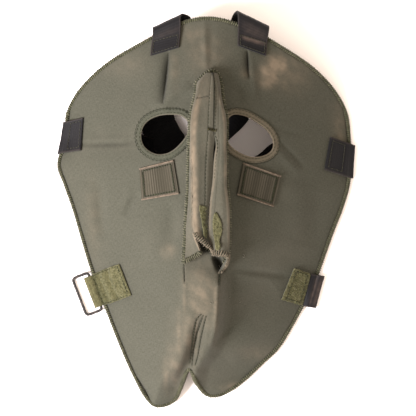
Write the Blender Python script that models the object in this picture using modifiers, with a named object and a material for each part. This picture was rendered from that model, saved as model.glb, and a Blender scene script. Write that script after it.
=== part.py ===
"""Cloth face mask for extreme cold, lying on its back on a flat surface.

+X is the viewer's right, +Y points to the forehead and +Z out of the face. The origin is the
centre of the footprint, on the surface the mask lies on. Driving dimensions are in millimetres.
"""

import math

import bmesh
import bpy
import numpy as np

MM = 0.001

# Cloth, tape and thread thicknesses.
SHELL_THICK = 1.2
LINING_THICK = 1.4
LAYER_GAP = 1.2
TOUCH_GAP = 0.4
STRAP_THICK = 1.2
TAPE_THICK = 1.6
EDGE_THREAD_R = 1.1
SMALL_THREAD_R = 0.7

# Webbing and the wire loop that it runs through.
WEBBING_WIDTH = 25.0
WIRE_R = 1.15
LOOP_LENGTH = 31.0
LOOP_REACH = 11.85
TAB_FOLD_R = 1.8
BAR_HEIGHT = TAB_FOLD_R + STRAP_THICK

# Height of the shell's upper face at its feet: straps and edge thread pass beneath it.
FOOT_HEIGHT = 3.4
GRID_STEP = 9.0
EDGE_INSET = 2 * EDGE_THREAD_R + TOUCH_GAP
LINING_INSET = 7.0
HALF_SIZE = (124.0, 160.0)

# Eye holes.
EYES = {"left": (-32.7, 56.6, 17.6, 15.6), "right": (33.5, 55.0, 18.0, 16.6)}
FACING_WIDTH = 4.6

# The breathing opening in the shell: centre x and y, half its width and half its length.
BREATHING_HOLE = (1.5, 4.0, 7.5, 36.0)

# The tack that ends the slit, and the flaps' hinge lines from beside it to the outer creases. The
# lines lie a little above the bulging cloth, so that a folded flap clears it.
TACK = (4.4, 58.0)
HINGE_LIFT = {"left": 1.4, "right": 2.2}
HINGES = {"left": ((1.6, 57.0), (-11.4, -33.0)), "right": ((7.2, 57.0), (15.2, -38.0))}
MOST_U = 1.3

# The outline, from the top of the forehead down the left side and up the right side.
LEFT_EDGE = [(-108.2, 74), (-109.6, 56), (-115.9, 35), (-110.5, 19), (-103.6, 0), (-98.2, -18),
             (-91.2, -46), (-84.2, -65), (-78.2, -78), (-66.6, -106), (-56.6, -129), (-45.8, -147.5)]
CHIN_EDGE = [(-37, -152.8), (-24.3, -147.5), (-17.3, -134), (-13.1, -124.5), (-8.9, -134),
             (-2, -142.8), (6, -145.5), (15, -142.8)]
RIGHT_EDGE = [(29.6, -133.6), (44.3, -119.7), (57.4, -106), (73.5, -78), (82.5, -62), (88.9, -46),
              (98.9, -18), (105.9, 0), (111.3, 19), (112.4, 38), (111.8, 56), (109, 72)]
TOP_EDGE = [(104.3, 83.5), (95.1, 97.4), (79.7, 111.3), (58.1, 125.1), (36, 137.5), (20, 143.6),
            (4.3, 146.7), (-12.3, 145.2), (-30, 138.2), (-55, 125.1), (-78.2, 111.3), (-98.2, 92.8)]

CHIN_NOTCH = (-13.1, -124.5)

# Height of the crest, and the two creases that bound it, at places down the face.
CREST_HEIGHT = [(-156, 5), (-140, 15), (-125, 28), (-100, 42), (-75, 50), (-45, 55), (0, 60),
                (60, 58), (100, 51), (147, 39)]
LEFT_CREASE = [(-155, -40), (-136, -35), (-120, -25), (-100, -21), (-82, -17.7), (-45, -16.5),
               (0, -12), (70, -8), (110, -1), (150, -1)]
RIGHT_CREASE = [(-155, -12), (-125, -9), (-114, -2), (-99, 5), (-82, 7.5), (-45, 9.5), (0, 13),
                (70, 12), (110, -1), (150, -1)]
RIGHT_DROP = [(-155, 0), (-140, 3), (-120, 7), (-90, 9), (-60, 7), (-40, 2), (-20, 0), (150, 0)]
SEAM_DIP = [(-155, 2), (-125, 7), (-100, 5), (-78, 0), (150, 0)]
ARCH_POWER = [(-155, 1.15), (-60, 1.12), (0, 1.2), (60, 1.3), (110, 1.5), (150, 1.6)]
DROP_WIDTH = 12.0

# The nose cover: its foot lines, creases, crest height and the rise of its centre seam.
COVER_TOP, COVER_LEFT_END, COVER_RIGHT_END = 105.5, -42.7, -48.5
COVER_LEFT_FOOT = [(-50, -19.6), (-42.7, -19.3), (37, -14.9), (60, -14.7), (73, -13.4),
                   (92, -9.2), (99, -5.5), (105.5, 2.4)]
COVER_RIGHT_FOOT = [(-50, 17.8), (0, 17.2), (60, 16), (72, 15.8), (85, 13.6), (98, 10.6),
                    (105.5, 6.0)]
COVER_LEFT_CREASE = [(-50, -11.8), (0, -10.9), (60, -10.2), (73, -8.4), (92, -4.4), (105.5, 3.2)]
COVER_RIGHT_CREASE = [(-50, 15.6), (0, 15.2), (60, 13.6), (73, 12.4), (92, 8.4), (105.5, 5.2)]
COVER_HEIGHT = [(-50, 66), (-34, 69.5), (20, 72), (58, 71), (80, 65.5), (95, 60), (105.5, 55)]
COVER_PEAK = [(-50, 0), (50, 0), (66, 2), (85, 3.5), (105.5, 1)]
COVER_LIFT = 3.0

MATERIALS = {
    "olive_cloth": ((0.105, 0.105, 0.075), 0.9, 0.0),
    "lining_cloth": ((0.16, 0.15, 0.11), 0.95, 0.0),
    "olive_thread": ((0.06, 0.065, 0.035), 0.85, 0.0),
    "black_elastic": ((0.022, 0.020, 0.024), 0.75, 0.0),
    "lime_tape": ((0.20, 0.22, 0.07), 0.95, 0.0),
    "brown_tape": ((0.13, 0.11, 0.07), 0.85, 0.0),
    "dark_wire": ((0.05, 0.045, 0.045), 0.4, 0.8),
}


# ---------------------------------------------------------------- curves and the face surface

def along(knots, t):
    """Smooth value between (t, value) knots, held constant past either end."""
    ts = np.array([k[0] for k in knots], float)
    vs = np.array([k[1] for k in knots], float)
    t = min(max(t, ts[0]), ts[-1])
    i = min(int(np.searchsorted(ts, t, side="right")) - 1, len(ts) - 2)
    slopes = np.diff(vs) / np.diff(ts)

    def tangent(k):
        if k == 0 or k == len(ts) - 1 or slopes[k - 1] * slopes[k] <= 0:
            return 0.0
        return 2 * slopes[k - 1] * slopes[k] / (slopes[k - 1] + slopes[k])

    width = ts[i + 1] - ts[i]
    s = (t - ts[i]) / width
    return (vs[i] * (1 + 2 * s) * (1 - s) ** 2 + vs[i + 1] * s * s * (3 - 2 * s)
            + width * (tangent(i) * s * (1 - s) ** 2 + tangent(i + 1) * s * s * (s - 1)))


def smooth_path(points, steps, closed=False):
    """Catmull-Rom curve through the points, which may hold any number of values each."""
    pts = np.array(points, float)
    n = len(pts)
    out = []
    for i in range(n if closed else n - 1):
        if closed:
            a, b, c, d = (pts[(i + k) % n] for k in (-1, 0, 1, 2))
        else:
            b, c = pts[i], pts[i + 1]
            a = pts[i - 1] if i else 2 * b - c
            d = pts[i + 2] if i + 2 < n else 2 * c - b
        for k in range(steps):
            s = k / steps
            out.append(0.5 * (2 * b + (c - a) * s + (2 * a - 5 * b + 4 * c - d) * s * s
                              + (3 * b - a - 3 * c + d) * s ** 3))
    if not closed:
        out.append(pts[-1])
    return np.array(out)


def outline(inset=0.0):
    """The mask's outline, moved inwards by inset."""
    path = smooth_path(LEFT_EDGE + CHIN_EDGE + RIGHT_EDGE + TOP_EDGE, 3, closed=True)
    tangent = np.roll(path, -1, axis=0) - np.roll(path, 1, axis=0)
    tangent /= np.linalg.norm(tangent, axis=1)[:, None]
    inward = np.column_stack((-tangent[:, 1], tangent[:, 0]))
    return path + inset * inward


def side_knots(edge):
    return sorted((y, x) for x, y in edge)


def smoothstep(t):
    t = min(max(t, 0.0), 1.0)
    return t * t * (3 - 2 * t)


def face_height(x, y):
    """Height of the shell's upper face."""
    crest = along(CREST_HEIGHT, y)
    left, right = along(LEFT_CREASE, y), along(RIGHT_CREASE, y)
    power = along(ARCH_POWER, y)
    if x < left:
        foot = along(side_knots(LEFT_EDGE), y) + EDGE_INSET
        u = min((left - x) / max(left - foot, 1.0), MOST_U)
        return FOOT_HEIGHT + (crest - FOOT_HEIGHT) * (1 - u ** power)
    if x > right:
        foot = along(side_knots(RIGHT_EDGE), y) - EDGE_INSET
        u = min((x - right) / max(foot - right, 1.0), MOST_U)
        drop = along(RIGHT_DROP, y) * smoothstep((x - right) / DROP_WIDTH)
        return FOOT_HEIGHT + (crest - drop - FOOT_HEIGHT) * (1 - u ** power)
    v = (x - left) / max(right - left, 0.001)
    return crest - along(SEAM_DIP, y) * 4 * v * (1 - v)


def slope_factor(x, y):
    """Vertical distance through cloth of unit thickness."""
    step = 3.0
    gx = (face_height(x + step, y) - face_height(x - step, y)) / (2 * step)
    gy = (face_height(x, y + step) - face_height(x, y - step)) / (2 * step)
    return math.sqrt(1 + gx * gx + gy * gy)


def cover_section(y):
    """Points across the nose cover at y: foot, crease, seam, crease, foot."""
    left_foot, right_foot = along(COVER_LEFT_FOOT, y), along(COVER_RIGHT_FOOT, y)
    left, right = along(COVER_LEFT_CREASE, y), along(COVER_RIGHT_CREASE, y)
    top = along(COVER_HEIGHT, y)
    middle = 0.5 * (left + right) + 1.0
    return [(left_foot, face_height(left_foot, y) + COVER_LIFT), (left, top),
            (middle, top + along(COVER_PEAK, y)), (right, top),
            (right_foot, face_height(right_foot, y) + COVER_LIFT)]


def cover_top(x, y):
    """Height of the nose cover's upper panel."""
    section = cover_section(y)
    xs, zs = [p[0] for p in section[1:4]], [p[1] for p in section[1:4]]
    return float(np.interp(x, xs, zs))


def hinge_x(side, y):
    """x of a flap's hinge line at y."""
    top, foot = HINGES[side]
    return top[0] + (foot[0] - top[0]) * (top[1] - y) / (top[1] - foot[1])


# ---------------------------------------------------------------- Blender helpers

def clear_scene():
    for obj in list(bpy.data.objects):
        bpy.data.objects.remove(obj, do_unlink=True)


def make_collection(name):
    collection = bpy.data.collections.new(name)
    bpy.context.scene.collection.children.link(collection)
    return collection


clear_scene()
PARTS = make_collection("cold_weather_face_mask")
CUTTERS = make_collection("cutters")


def make_materials():
    made = {}
    for name, (color, roughness, metallic) in MATERIALS.items():
        material = bpy.data.materials.new(name)
        material.use_nodes = True
        shader = material.node_tree.nodes["Principled BSDF"]
        shader.inputs["Base Color"].default_value = (*color, 1.0)
        shader.inputs["Roughness"].default_value = roughness
        shader.inputs["Metallic"].default_value = metallic
        made[name] = material
    return made


MADE = make_materials()


def add_object(name, data, material=None, collection=PARTS):
    obj = bpy.data.objects.new(name, data)
    collection.objects.link(obj)
    if material:
        data.materials.append(MADE[material])
    return obj


def sheet(name, point_at, columns, rows, thick, material, outward=True):
    """Cloth of even thickness on the surface point_at(u, v), with u and v from 0 to 1."""
    bm = bmesh.new()
    bmesh.ops.create_grid(bm, x_segments=columns, y_segments=rows, size=0.5)
    for vert in bm.verts:
        x, y, z = point_at(vert.co.x + 0.5, vert.co.y + 0.5)
        vert.co = (x * MM, y * MM, z * MM)
    mesh = bpy.data.meshes.new(name)
    bm.to_mesh(mesh)
    bm.free()
    mesh.shade_smooth()
    obj = add_object(name, mesh, material)
    solid = obj.modifiers.new("cloth", "SOLIDIFY")
    solid.thickness = thick * MM
    solid.offset = 1.0 if outward else -1.0
    solid.use_even_offset = True
    return obj


def prism(name, points, low, high):
    """Upright cutter with the given outline."""
    curve = bpy.data.curves.new(name, "CURVE")
    curve.dimensions = "2D"
    curve.fill_mode = "BOTH"
    curve.extrude = 0.5 * (high - low) * MM
    spline = curve.splines.new("POLY")
    spline.points.add(len(points) - 1)
    for point, (x, y) in zip(spline.points, points):
        point.co = (x * MM, y * MM, 0, 1)
    spline.use_cyclic_u = True
    obj = add_object(name + "_curve", curve, collection=CUTTERS)
    obj.location.z = 0.5 * (low + high) * MM
    cutter = to_mesh(obj, name, CUTTERS)
    cutter.hide_render = True
    cutter.display_type = "WIRE"
    return cutter


def to_mesh(obj, name, collection):
    """The curve object as a welded mesh object."""
    bpy.context.view_layer.update()
    evaluated = obj.evaluated_get(bpy.context.evaluated_depsgraph_get())
    mesh = bpy.data.meshes.new_from_object(evaluated)
    bm = bmesh.new()
    bm.from_mesh(mesh)
    bmesh.ops.remove_doubles(bm, verts=bm.verts, dist=1e-6)
    bm.to_mesh(mesh)
    bm.free()
    made = add_object(name, mesh, collection=collection)
    made.matrix_world = obj.matrix_world
    bpy.data.objects.remove(obj, do_unlink=True)
    return made


def cut(obj, cutter, operation="DIFFERENCE"):
    boolean = obj.modifiers.new(operation.lower(), "BOOLEAN")
    boolean.operation = operation
    boolean.object = cutter
    boolean.solver = "EXACT"


def thread(name, points, radius, material, closed=False):
    """Round thread or wire along the points."""
    curve = bpy.data.curves.new(name, "CURVE")
    curve.dimensions = "3D"
    curve.bevel_depth = radius * MM
    curve.bevel_resolution = 1
    curve.use_fill_caps = True
    spline = curve.splines.new("POLY")
    spline.points.add(len(points) - 1)
    for point, (x, y, z) in zip(spline.points, points):
        point.co = (x * MM, y * MM, z * MM, 1)
    spline.use_cyclic_u = closed
    return add_object(name, curve, material)


def ellipse(cx, cy, rx, ry, count=24):
    return [(cx + rx * math.cos(a), cy + ry * math.sin(a))
            for a in (2 * math.pi * k / count for k in range(count))]


def patch(name, corners, lift, thick, columns, rows, material):
    """Tape lying on the shell. Corners run lower left, lower right, upper right, upper left."""
    corner = np.array(corners, float)

    def point_at(u, v):
        low = corner[0] * (1 - u) + corner[1] * u
        high = corner[3] * (1 - u) + corner[2] * u
        x, y = low * (1 - v) + high * v
        return x, y, face_height(x, y) + lift

    return sheet(name, point_at, columns, rows, thick, material)


def ribbon(name, stations, steps, columns, thick, material):
    """Webbing between two rails. Each station is (xa, ya, za, xb, yb, zb, follow): follow 1
    measures z from the shell's face, 0 from the ground."""
    rails = smooth_path(stations, steps)
    count = len(rails) - 1

    def point_at(u, v):
        xa, ya, za, xb, yb, zb, follow = rails[round(u * count)]
        x, y = xa + (xb - xa) * v, ya + (yb - ya) * v
        z = za + (zb - za) * v + follow * face_height(x, y)
        return x, y, max(z, thick)

    return sheet(name, point_at, count, columns, thick, material)


# ---------------------------------------------------------------- shell, lining and edges

def grid_point(u, v):
    return HALF_SIZE[0] * (2 * u - 1), HALF_SIZE[1] * (2 * v - 1)


def make_shell_and_lining():
    columns, rows = (round(2 * half / GRID_STEP) for half in HALF_SIZE)

    def shell_point(u, v):
        x, y = grid_point(u, v)
        return x, y, face_height(x, y)

    def lining_point(u, v):
        x, y = grid_point(u, v)
        depth = (SHELL_THICK + LAYER_GAP) * slope_factor(x, y)
        return x, y, face_height(x, y) - depth

    shell = sheet("outer_shell", shell_point, columns, rows, SHELL_THICK, "olive_cloth", False)
    lining = sheet("lining", lining_point, columns, rows, LINING_THICK, "lining_cloth", False)
    cut(shell, prism("shell_outline", outline(EDGE_INSET), -20, 120), "INTERSECT")
    cut(lining, prism("lining_outline", outline(LINING_INSET), -20, 120), "INTERSECT")
    for side, (cx, cy, rx, ry) in EYES.items():
        cut(shell, prism(f"{side}_eye", ellipse(cx, cy, rx + 0.6, ry + 0.6), 0, 120))
        cut(lining, prism(f"{side}_eye_wide", ellipse(cx, cy, rx + 2, ry + 2), 0, 120))
    cut(shell, prism("nose_opening", nose_opening(0.0), 0, 120))
    cut(lining, prism("nose_opening_wide", nose_opening(2.0), 0, 120))
    cut(lining, prism("chin_clearance", ellipse(*CHIN_NOTCH, 11, 14), -20, 120))


def nose_opening(margin):
    """Outline of the breathing opening: a long oval under the flaps."""
    x, y, half_width, half_length = BREATHING_HOLE
    return ellipse(x, y, half_width + margin, half_length + margin)


def make_edges():
    centre = outline(EDGE_THREAD_R)
    rim = outline(EDGE_INSET)
    points = [(x, y, max(face_height(rx, ry), FOOT_HEIGHT) - SHELL_THICK / 2)
              for (x, y), (rx, ry) in zip(centre, rim)]
    thread("edge_overlock", points, EDGE_THREAD_R, "olive_thread", closed=True)
    binding = nose_opening(-SMALL_THREAD_R - TOUCH_GAP)
    points = [(x, y, face_height(x, y) - SHELL_THICK / 2) for x, y in binding]
    thread("nose_opening_binding", points, SMALL_THREAD_R, "olive_thread", closed=True)


def make_eye_facings():
    for side, (cx, cy, rx, ry) in EYES.items():
        wide, tall = rx + FACING_WIDTH + 2, ry + FACING_WIDTH + 2
        corners = [(cx - wide, cy - tall), (cx + wide, cy - tall),
                   (cx + wide, cy + tall), (cx - wide, cy + tall)]
        ring = patch(f"{side}_eye_facing", corners, TOUCH_GAP, 1.0, 11, 10, "olive_cloth")
        outer = ellipse(cx, cy, rx + FACING_WIDTH, ry + FACING_WIDTH, 28)
        cut(ring, prism(f"{side}_facing_outline", outer, 0, 120), "INTERSECT")
        cut(ring, prism(f"{side}_facing_hole", ellipse(cx, cy, rx, ry, 28), 0, 120))


# ---------------------------------------------------------------- nose cover and flaps

def make_nose_cover():
    def point_at(u, v):
        lower = COVER_LEFT_END + (COVER_RIGHT_END - COVER_LEFT_END) * u
        y = lower + (COVER_TOP - lower) * v
        section = cover_section(y)
        s = u * (len(section) - 1)
        xs = [p[0] for p in section]
        zs = [p[1] for p in section]
        places = range(len(section))
        return float(np.interp(s, places, xs)), y, float(np.interp(s, places, zs))

    cover = sheet("nose_cover", point_at, 8, 18, SHELL_THICK, "olive_cloth", False)
    (left_top, left_foot), (right_top, right_foot) = HINGES["left"], HINGES["right"]
    mouth = [left_top, left_foot, (left_foot[0], -60), (right_foot[0], -60), right_foot, right_top]
    cut(cover, prism("slot", mouth, 62, 120))

    left = [(along(COVER_LEFT_FOOT, y), y) for y in np.linspace(COVER_LEFT_END, COVER_TOP, 24)]
    right = [(along(COVER_RIGHT_FOOT, y), y) for y in np.linspace(COVER_TOP, COVER_RIGHT_END, 24)]
    path = np.array(left + right)
    tangent = np.gradient(path, axis=0)
    tangent /= np.linalg.norm(tangent, axis=1)[:, None]
    path += 1.4 * np.column_stack((-tangent[:, 1], tangent[:, 0]))
    points = [(x, y, face_height(x, y) + COVER_LIFT) for x, y in path]
    thread("nose_cover_overlock", points, SMALL_THREAD_R, "olive_thread")


# Slit edges and hems of the flaps, and where the tape starts and stops along them.
FLAP_EDGES = {"left": ((4.0, 56.0), (0.6, -22.0), -32.0), "right": ((4.9, 56.0), (2.8, -28.0), -36.5)}
TAPE_ALONG = (0.30, 0.84)
TAPE_ACROSS = (0.50, 0.90)


def make_flap(side):
    """A flap of the upper panel, between its hinge line and the slit, and the tape on it."""
    slit_top, slit_foot, hem_y = FLAP_EDGES[side]
    out = -1.0 if side == "left" else 1.0
    hinge_top_y = HINGES[side][0][1] - TOUCH_GAP

    def point_at(across, down):
        hinge_y = hinge_top_y + (hem_y - hinge_top_y) * down
        hinge = np.array((hinge_x(side, hinge_y) - out * TOUCH_GAP, hinge_y))
        slit = np.array(slit_top) * (1 - down) + np.array(slit_foot) * down
        x, y = hinge * (1 - across) + slit * across
        return x, y, cover_top(x, y)

    def flap_point(u, v):
        return point_at(u if side == "left" else 1 - u, 1 - v)

    def tape_point(u, v):
        across = TAPE_ACROSS[0] + (TAPE_ACROSS[1] - TAPE_ACROSS[0]) * (u if side == "left" else 1 - u)
        x, y, z = point_at(across, TAPE_ALONG[1] - (TAPE_ALONG[1] - TAPE_ALONG[0]) * v)
        return x, y, z + TOUCH_GAP

    hinge_top = HINGES[side][0]
    origin = (*hinge_top, cover_top(*hinge_top) + HINGE_LIFT[side])
    flap = sheet(f"{side}_flap", flap_point, 4, 12, SHELL_THICK, "olive_cloth", False)
    tape = sheet(f"{side}_flap_hook_tape", tape_point, 3, 8, 1.0, "lime_tape")
    set_origin(flap, origin)
    set_origin(tape, origin)


def set_origin(obj, place):
    """Moves the object's origin to place and leaves its shape where it is."""
    x, y, z = (value * MM for value in place)
    for vert in obj.data.vertices:
        vert.co.x -= x
        vert.co.y -= y
        vert.co.z -= z
    obj.location = (x, y, z)


def make_flaps():
    make_flap("left")
    make_flap("right")
    x, y = 5.0, TACK[1] + 1.8
    tack = [(x + dx, y, cover_top(x + dx, y) + SMALL_THREAD_R + 0.5) for dx in (-3.2, 0, 3.2)]
    thread("flap_bartack", tack, SMALL_THREAD_R, "olive_thread")


# ---------------------------------------------------------------- patches, straps and loop

def make_cheek_patches():
    left = [(-48.9, 6.5), (-20.6, 11.2), (-24.9, 36.8), (-50.9, 30.5)]
    right = [(22.9, 10.5), (50.9, 1.5), (56.7, 25.0), (27.6, 34.8)]
    patch("left_cheek_patch", left, 1.6, TAPE_THICK, 5, 5, "brown_tape")
    patch("right_cheek_patch", right, 1.6, TAPE_THICK, 5, 5, "brown_tape")


def make_top_straps():
    floor = STRAP_THICK
    level = STRAP_THICK + 2 * TOUCH_GAP
    left = [
        (-20.8, 123.4, 0.5, -42.8, 117.2, 0.5, 1), (-20.0, 131, 0.5, -42.0, 126, 0.5, 1),
        (-19.6, 139.6, 1.7, -41.4, 132.0, 1.7, 1), (-19.6, 146.6, 2.0, -41.1, 137.2, 2.4, 1),
        (-18.9, 149.2, -2.0, -40.4, 138.8, -2.0, 1), (-16.0, 146.5, -6.5, -39.0, 136.6, -6.5, 1),
        (-12.5, 138, -12, -37.0, 129, -12, 1), (-11, 122, -6, -35.8, 116, -6, 0.55),
        (-13, 104, 11, -37.5, 101, 11, 0), (-17, 90, 5.5, -41, 86, 5.5, 0),
        (-19, 76, floor + level, -40.6, 66, floor + level, 0),
        (-8, 57, floor + level, -29.5, 45.5, floor + level, 0),
        (6, 33, floor + level, -16.5, 22, floor + level, 0)]
    right = [
        (45.6, 117.2, 0.5, 23.9, 124.8, 0.5, 1), (46.3, 126, 0.5, 24.0, 132, 0.5, 1),
        (47.0, 131.0, 1.8, 24.2, 141.0, 1.7, 1), (47.9, 137.6, 2.6, 24.0, 148.8, 2.2, 1),
        (47.4, 139.9, -2.0, 23.4, 151.2, -2.0, 1), (45.5, 137.6, -6.5, 20.5, 149.0, -6.5, 1),
        (43, 130, -12, 18.0, 141, -12, 1), (42, 116, -6, 17.5, 124, -6, 0.55),
        (42, 102, 12, 17, 106, 12, 0), (39, 88, 7, 16.5, 97, 7, 0),
        (32, 68, floor + 2 * level, 15, 86, floor + 2 * level, 0),
        (16.5, 51.5, floor + 2 * level, -1.5, 69, floor + 2 * level, 0),
        (-5, 31, floor + 2 * level, -21, 50, floor + 2 * level, 0)]
    ribbon("left_top_strap", left, 2, 3, STRAP_THICK, "black_elastic")
    ribbon("right_top_strap", right, 2, 3, STRAP_THICK, "black_elastic")


def make_side_straps():
    floor = STRAP_THICK
    left = [
        (-95.1, 70.5, 0.5, -96.9, 45, 0.5, 1), (-102, 69.2, 0.8, -105, 44, 0.8, 1),
        (-107.6, 68, 2.2, -111.6, 43, 2.2, 1), (-110.6, 67.4, 2.9, -114.9, 42, 2.9, 0),
        (-107.6, 67.6, floor, -111.4, 42.6, floor, 0), (-98, 67, floor, -101, 42, floor, 0),
        (-76, 63, floor, -77, 38.5, floor, 0), (-62, 59, 6, -60, 42.5, floor, 0),
        (-49, 56.5, 11, -48, 43, floor, 0), (-37, 53, floor, -37, 32, floor, 0),
        (-24, 47, floor, -24, 22, floor, 0), (-6.5, 43.5, floor, -6.5, 18.5, floor, 0)]
    right = [
        (91.2, 30, 0.5, 95.8, 55.7, 0.5, 1), (102, 26.8, 0.8, 105.5, 52.4, 0.8, 1),
        (108.6, 24.6, 2.2, 111.2, 50.6, 2.2, 1), (113.2, 23.5, 2.9, 114.7, 49.4, 2.9, 0),
        (109.6, 24.4, floor, 111.4, 49.8, floor, 0), (95, 29, floor, 98, 54, floor, 0),
        (80, 30, floor, 79, 55, floor, 0), (62.5, 28, floor, 53, 51.5, floor, 0),
        (48, 18, floor, 38, 40.5, floor, 0), (24, 14, floor, 20, 38.5, floor, 0),
        (-4.5, 18.5, floor, -4.5, 43.5, floor, 0)]
    ribbon("left_side_strap", left, 2, 3, STRAP_THICK, "black_elastic")
    ribbon("right_side_strap", right, 2, 3, STRAP_THICK, "black_elastic")
    top = STRAP_THICK + 2 * (STRAP_THICK + 2 * TOUCH_GAP) + TOUCH_GAP + 0.4
    sheet("rear_junction", lambda u, v: (-21 + 28 * u, 21 + 26 * v, top), 2, 2, STRAP_THICK,
          "black_elastic")


# The folded tab on the left, its bar axis and the directions along and out from it.
TAB_FOLD = np.array((-89.5, -65.35))
TAB_ALONG = np.array((0.361, -0.933))
TAB_OUT = np.array((-0.933, -0.361))
BAR_AXIS = TAB_FOLD - (TAB_FOLD_R + STRAP_THICK) * TAB_OUT
HALF_TAB = WEBBING_WIDTH / 2


def tab_station(reach, height, follow):
    """Rails of the folded tab at a distance out from the bar's axis."""
    a = BAR_AXIS + reach * TAB_OUT - HALF_TAB * TAB_ALONG
    b = BAR_AXIS + reach * TAB_OUT + HALF_TAB * TAB_ALONG
    return (*a, height, *b, height, follow)


def make_left_lower_tab():
    reach_in = -26.0
    upper = [tab_station(reach_in, 0.6, 1), tab_station(-20, 0.6, 1), tab_station(-13, 0.8, 1),
             tab_station(-7, 1.6, 1), tab_station(-3.2, 2.6, 1)]
    fold = [tab_station(TAB_FOLD_R * math.sin(a), BAR_HEIGHT + TAB_FOLD_R * math.cos(a), 0)
            for a in (math.pi * k / 6 for k in range(7))]
    lower = [tab_station(-4, STRAP_THICK, 0), tab_station(-11, STRAP_THICK, 0)]
    ribbon("left_lower_tab", upper + fold + lower, 2, 2, STRAP_THICK, "lime_tape")


def make_strap_loop():
    """Rectangular wire loop, its inner bar in the tab's fold and its outer bar on the ground."""
    half = LOOP_LENGTH / 2 - WIRE_R
    corner = 2.6
    drop = math.asin((BAR_HEIGHT - WIRE_R) / LOOP_REACH)
    centres = [(half - corner, corner, -90), (half - corner, LOOP_REACH - corner, 0),
               (-half + corner, LOOP_REACH - corner, 90), (-half + corner, corner, 180)]
    points = []
    for along_x, out, start in centres:
        for k in range(5):
            angle = math.radians(start + 22.5 * k)
            side = along_x + corner * math.cos(angle)
            reach = out + corner * math.sin(angle)
            x, y = side * TAB_ALONG + reach * math.cos(drop) * TAB_OUT
            points.append((x, y, -reach * math.sin(drop)))
    loop = thread("strap_loop", points, WIRE_R, "dark_wire", closed=True)
    loop.data.bevel_resolution = 2
    loop.location = (BAR_AXIS[0] * MM, BAR_AXIS[1] * MM, BAR_HEIGHT * MM)


# The neck strap's sewn root, on the right.
ROOT_TOP, ROOT_FOOT = (76.6, -49.4), (69.0, -74.2)
ROOT_GAP = 1.0


def make_right_lower():
    floor = STRAP_THICK
    tape = [(57.9, -70.4), (71.4, -74.9), (78.0, -50.5), (70.1, -46.4)]
    patch("right_lower_tape", tape, 0.7, TAPE_THICK, 4, 5, "lime_tape")
    out = np.array((0.952, -0.307))
    start_a = np.array(ROOT_FOOT) + ROOT_GAP * out
    start_b = np.array(ROOT_TOP) + ROOT_GAP * out
    tab = [(72.6, -75.2, 1.6, 79.2, -50.9, 0.8, 1), (77.0, -76.2, 5.0, 83.4, -51.4, 1.6, 1),
           (80.6, -77, 4.3, 88.0, -52, 4.8, 0), (84.2, -77.4, 2.8, 91.0, -52.4, 2.9, 0),
           (80.8, -76.8, floor, 87.2, -51.8, floor, 0),
           (*start_a, floor, *start_b, floor, 0)]
    ribbon("right_lower_tab", tab, 2, 3, STRAP_THICK, "black_elastic")
    free_a = np.array(ROOT_FOOT) - ROOT_GAP * out
    free_b = np.array(ROOT_TOP) - ROOT_GAP * out
    strap = [(*free_a, floor, *free_b, floor, 0), (42, -65, floor, 49, -41, floor, 0),
             (8, -58, floor, 12, -33.5, floor, 0), (-26, -55, floor, -25, -30, floor, 0),
             (-58, -55, floor, -58, -30, floor, 0)]
    neck = ribbon("neck_strap", strap, 3, 2, STRAP_THICK, "black_elastic")
    hinge = (*(0.5 * (np.array(ROOT_TOP) + np.array(ROOT_FOOT))), floor / 2)
    set_origin(neck, hinge)
    hook = sheet("neck_strap_hook",
                 lambda u, v: (-56 + 26 * u, -53 + 21 * v, floor + TOUCH_GAP), 2, 2,
                 1.0, "lime_tape")
    set_origin(hook, hinge)


make_shell_and_lining()
make_edges()
make_eye_facings()
make_nose_cover()
make_flaps()
make_cheek_patches()
make_top_straps()
make_side_straps()
make_left_lower_tab()
make_strap_loop()
make_right_lower()
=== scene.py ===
"""Looks for the cold-weather face mask: cloth, webbing, tape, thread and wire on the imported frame.

Design lengths are in millimetres in the row frame, as in the CAD; MM turns them into metres.
"""

import math

import bpy
import numpy as np
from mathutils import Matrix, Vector
from mathutils.geometry import delaunay_2d_cdt


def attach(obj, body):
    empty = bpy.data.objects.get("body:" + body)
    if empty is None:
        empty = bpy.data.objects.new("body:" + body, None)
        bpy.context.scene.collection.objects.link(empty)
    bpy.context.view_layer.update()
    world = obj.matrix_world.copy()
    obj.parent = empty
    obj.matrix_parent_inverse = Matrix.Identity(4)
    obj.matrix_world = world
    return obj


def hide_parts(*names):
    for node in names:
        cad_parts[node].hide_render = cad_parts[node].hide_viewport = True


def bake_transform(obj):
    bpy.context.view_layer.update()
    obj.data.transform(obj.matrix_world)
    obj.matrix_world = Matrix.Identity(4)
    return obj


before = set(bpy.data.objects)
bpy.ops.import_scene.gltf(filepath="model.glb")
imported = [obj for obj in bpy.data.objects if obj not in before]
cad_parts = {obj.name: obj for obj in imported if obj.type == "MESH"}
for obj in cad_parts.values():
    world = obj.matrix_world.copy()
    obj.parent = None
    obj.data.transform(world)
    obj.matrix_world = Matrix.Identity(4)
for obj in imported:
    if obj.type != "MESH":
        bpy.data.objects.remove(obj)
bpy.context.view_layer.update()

MM = 0.001
RNG_SEED = 7

# ------------------------------------------------------------------ measures shared with the CAD

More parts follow.
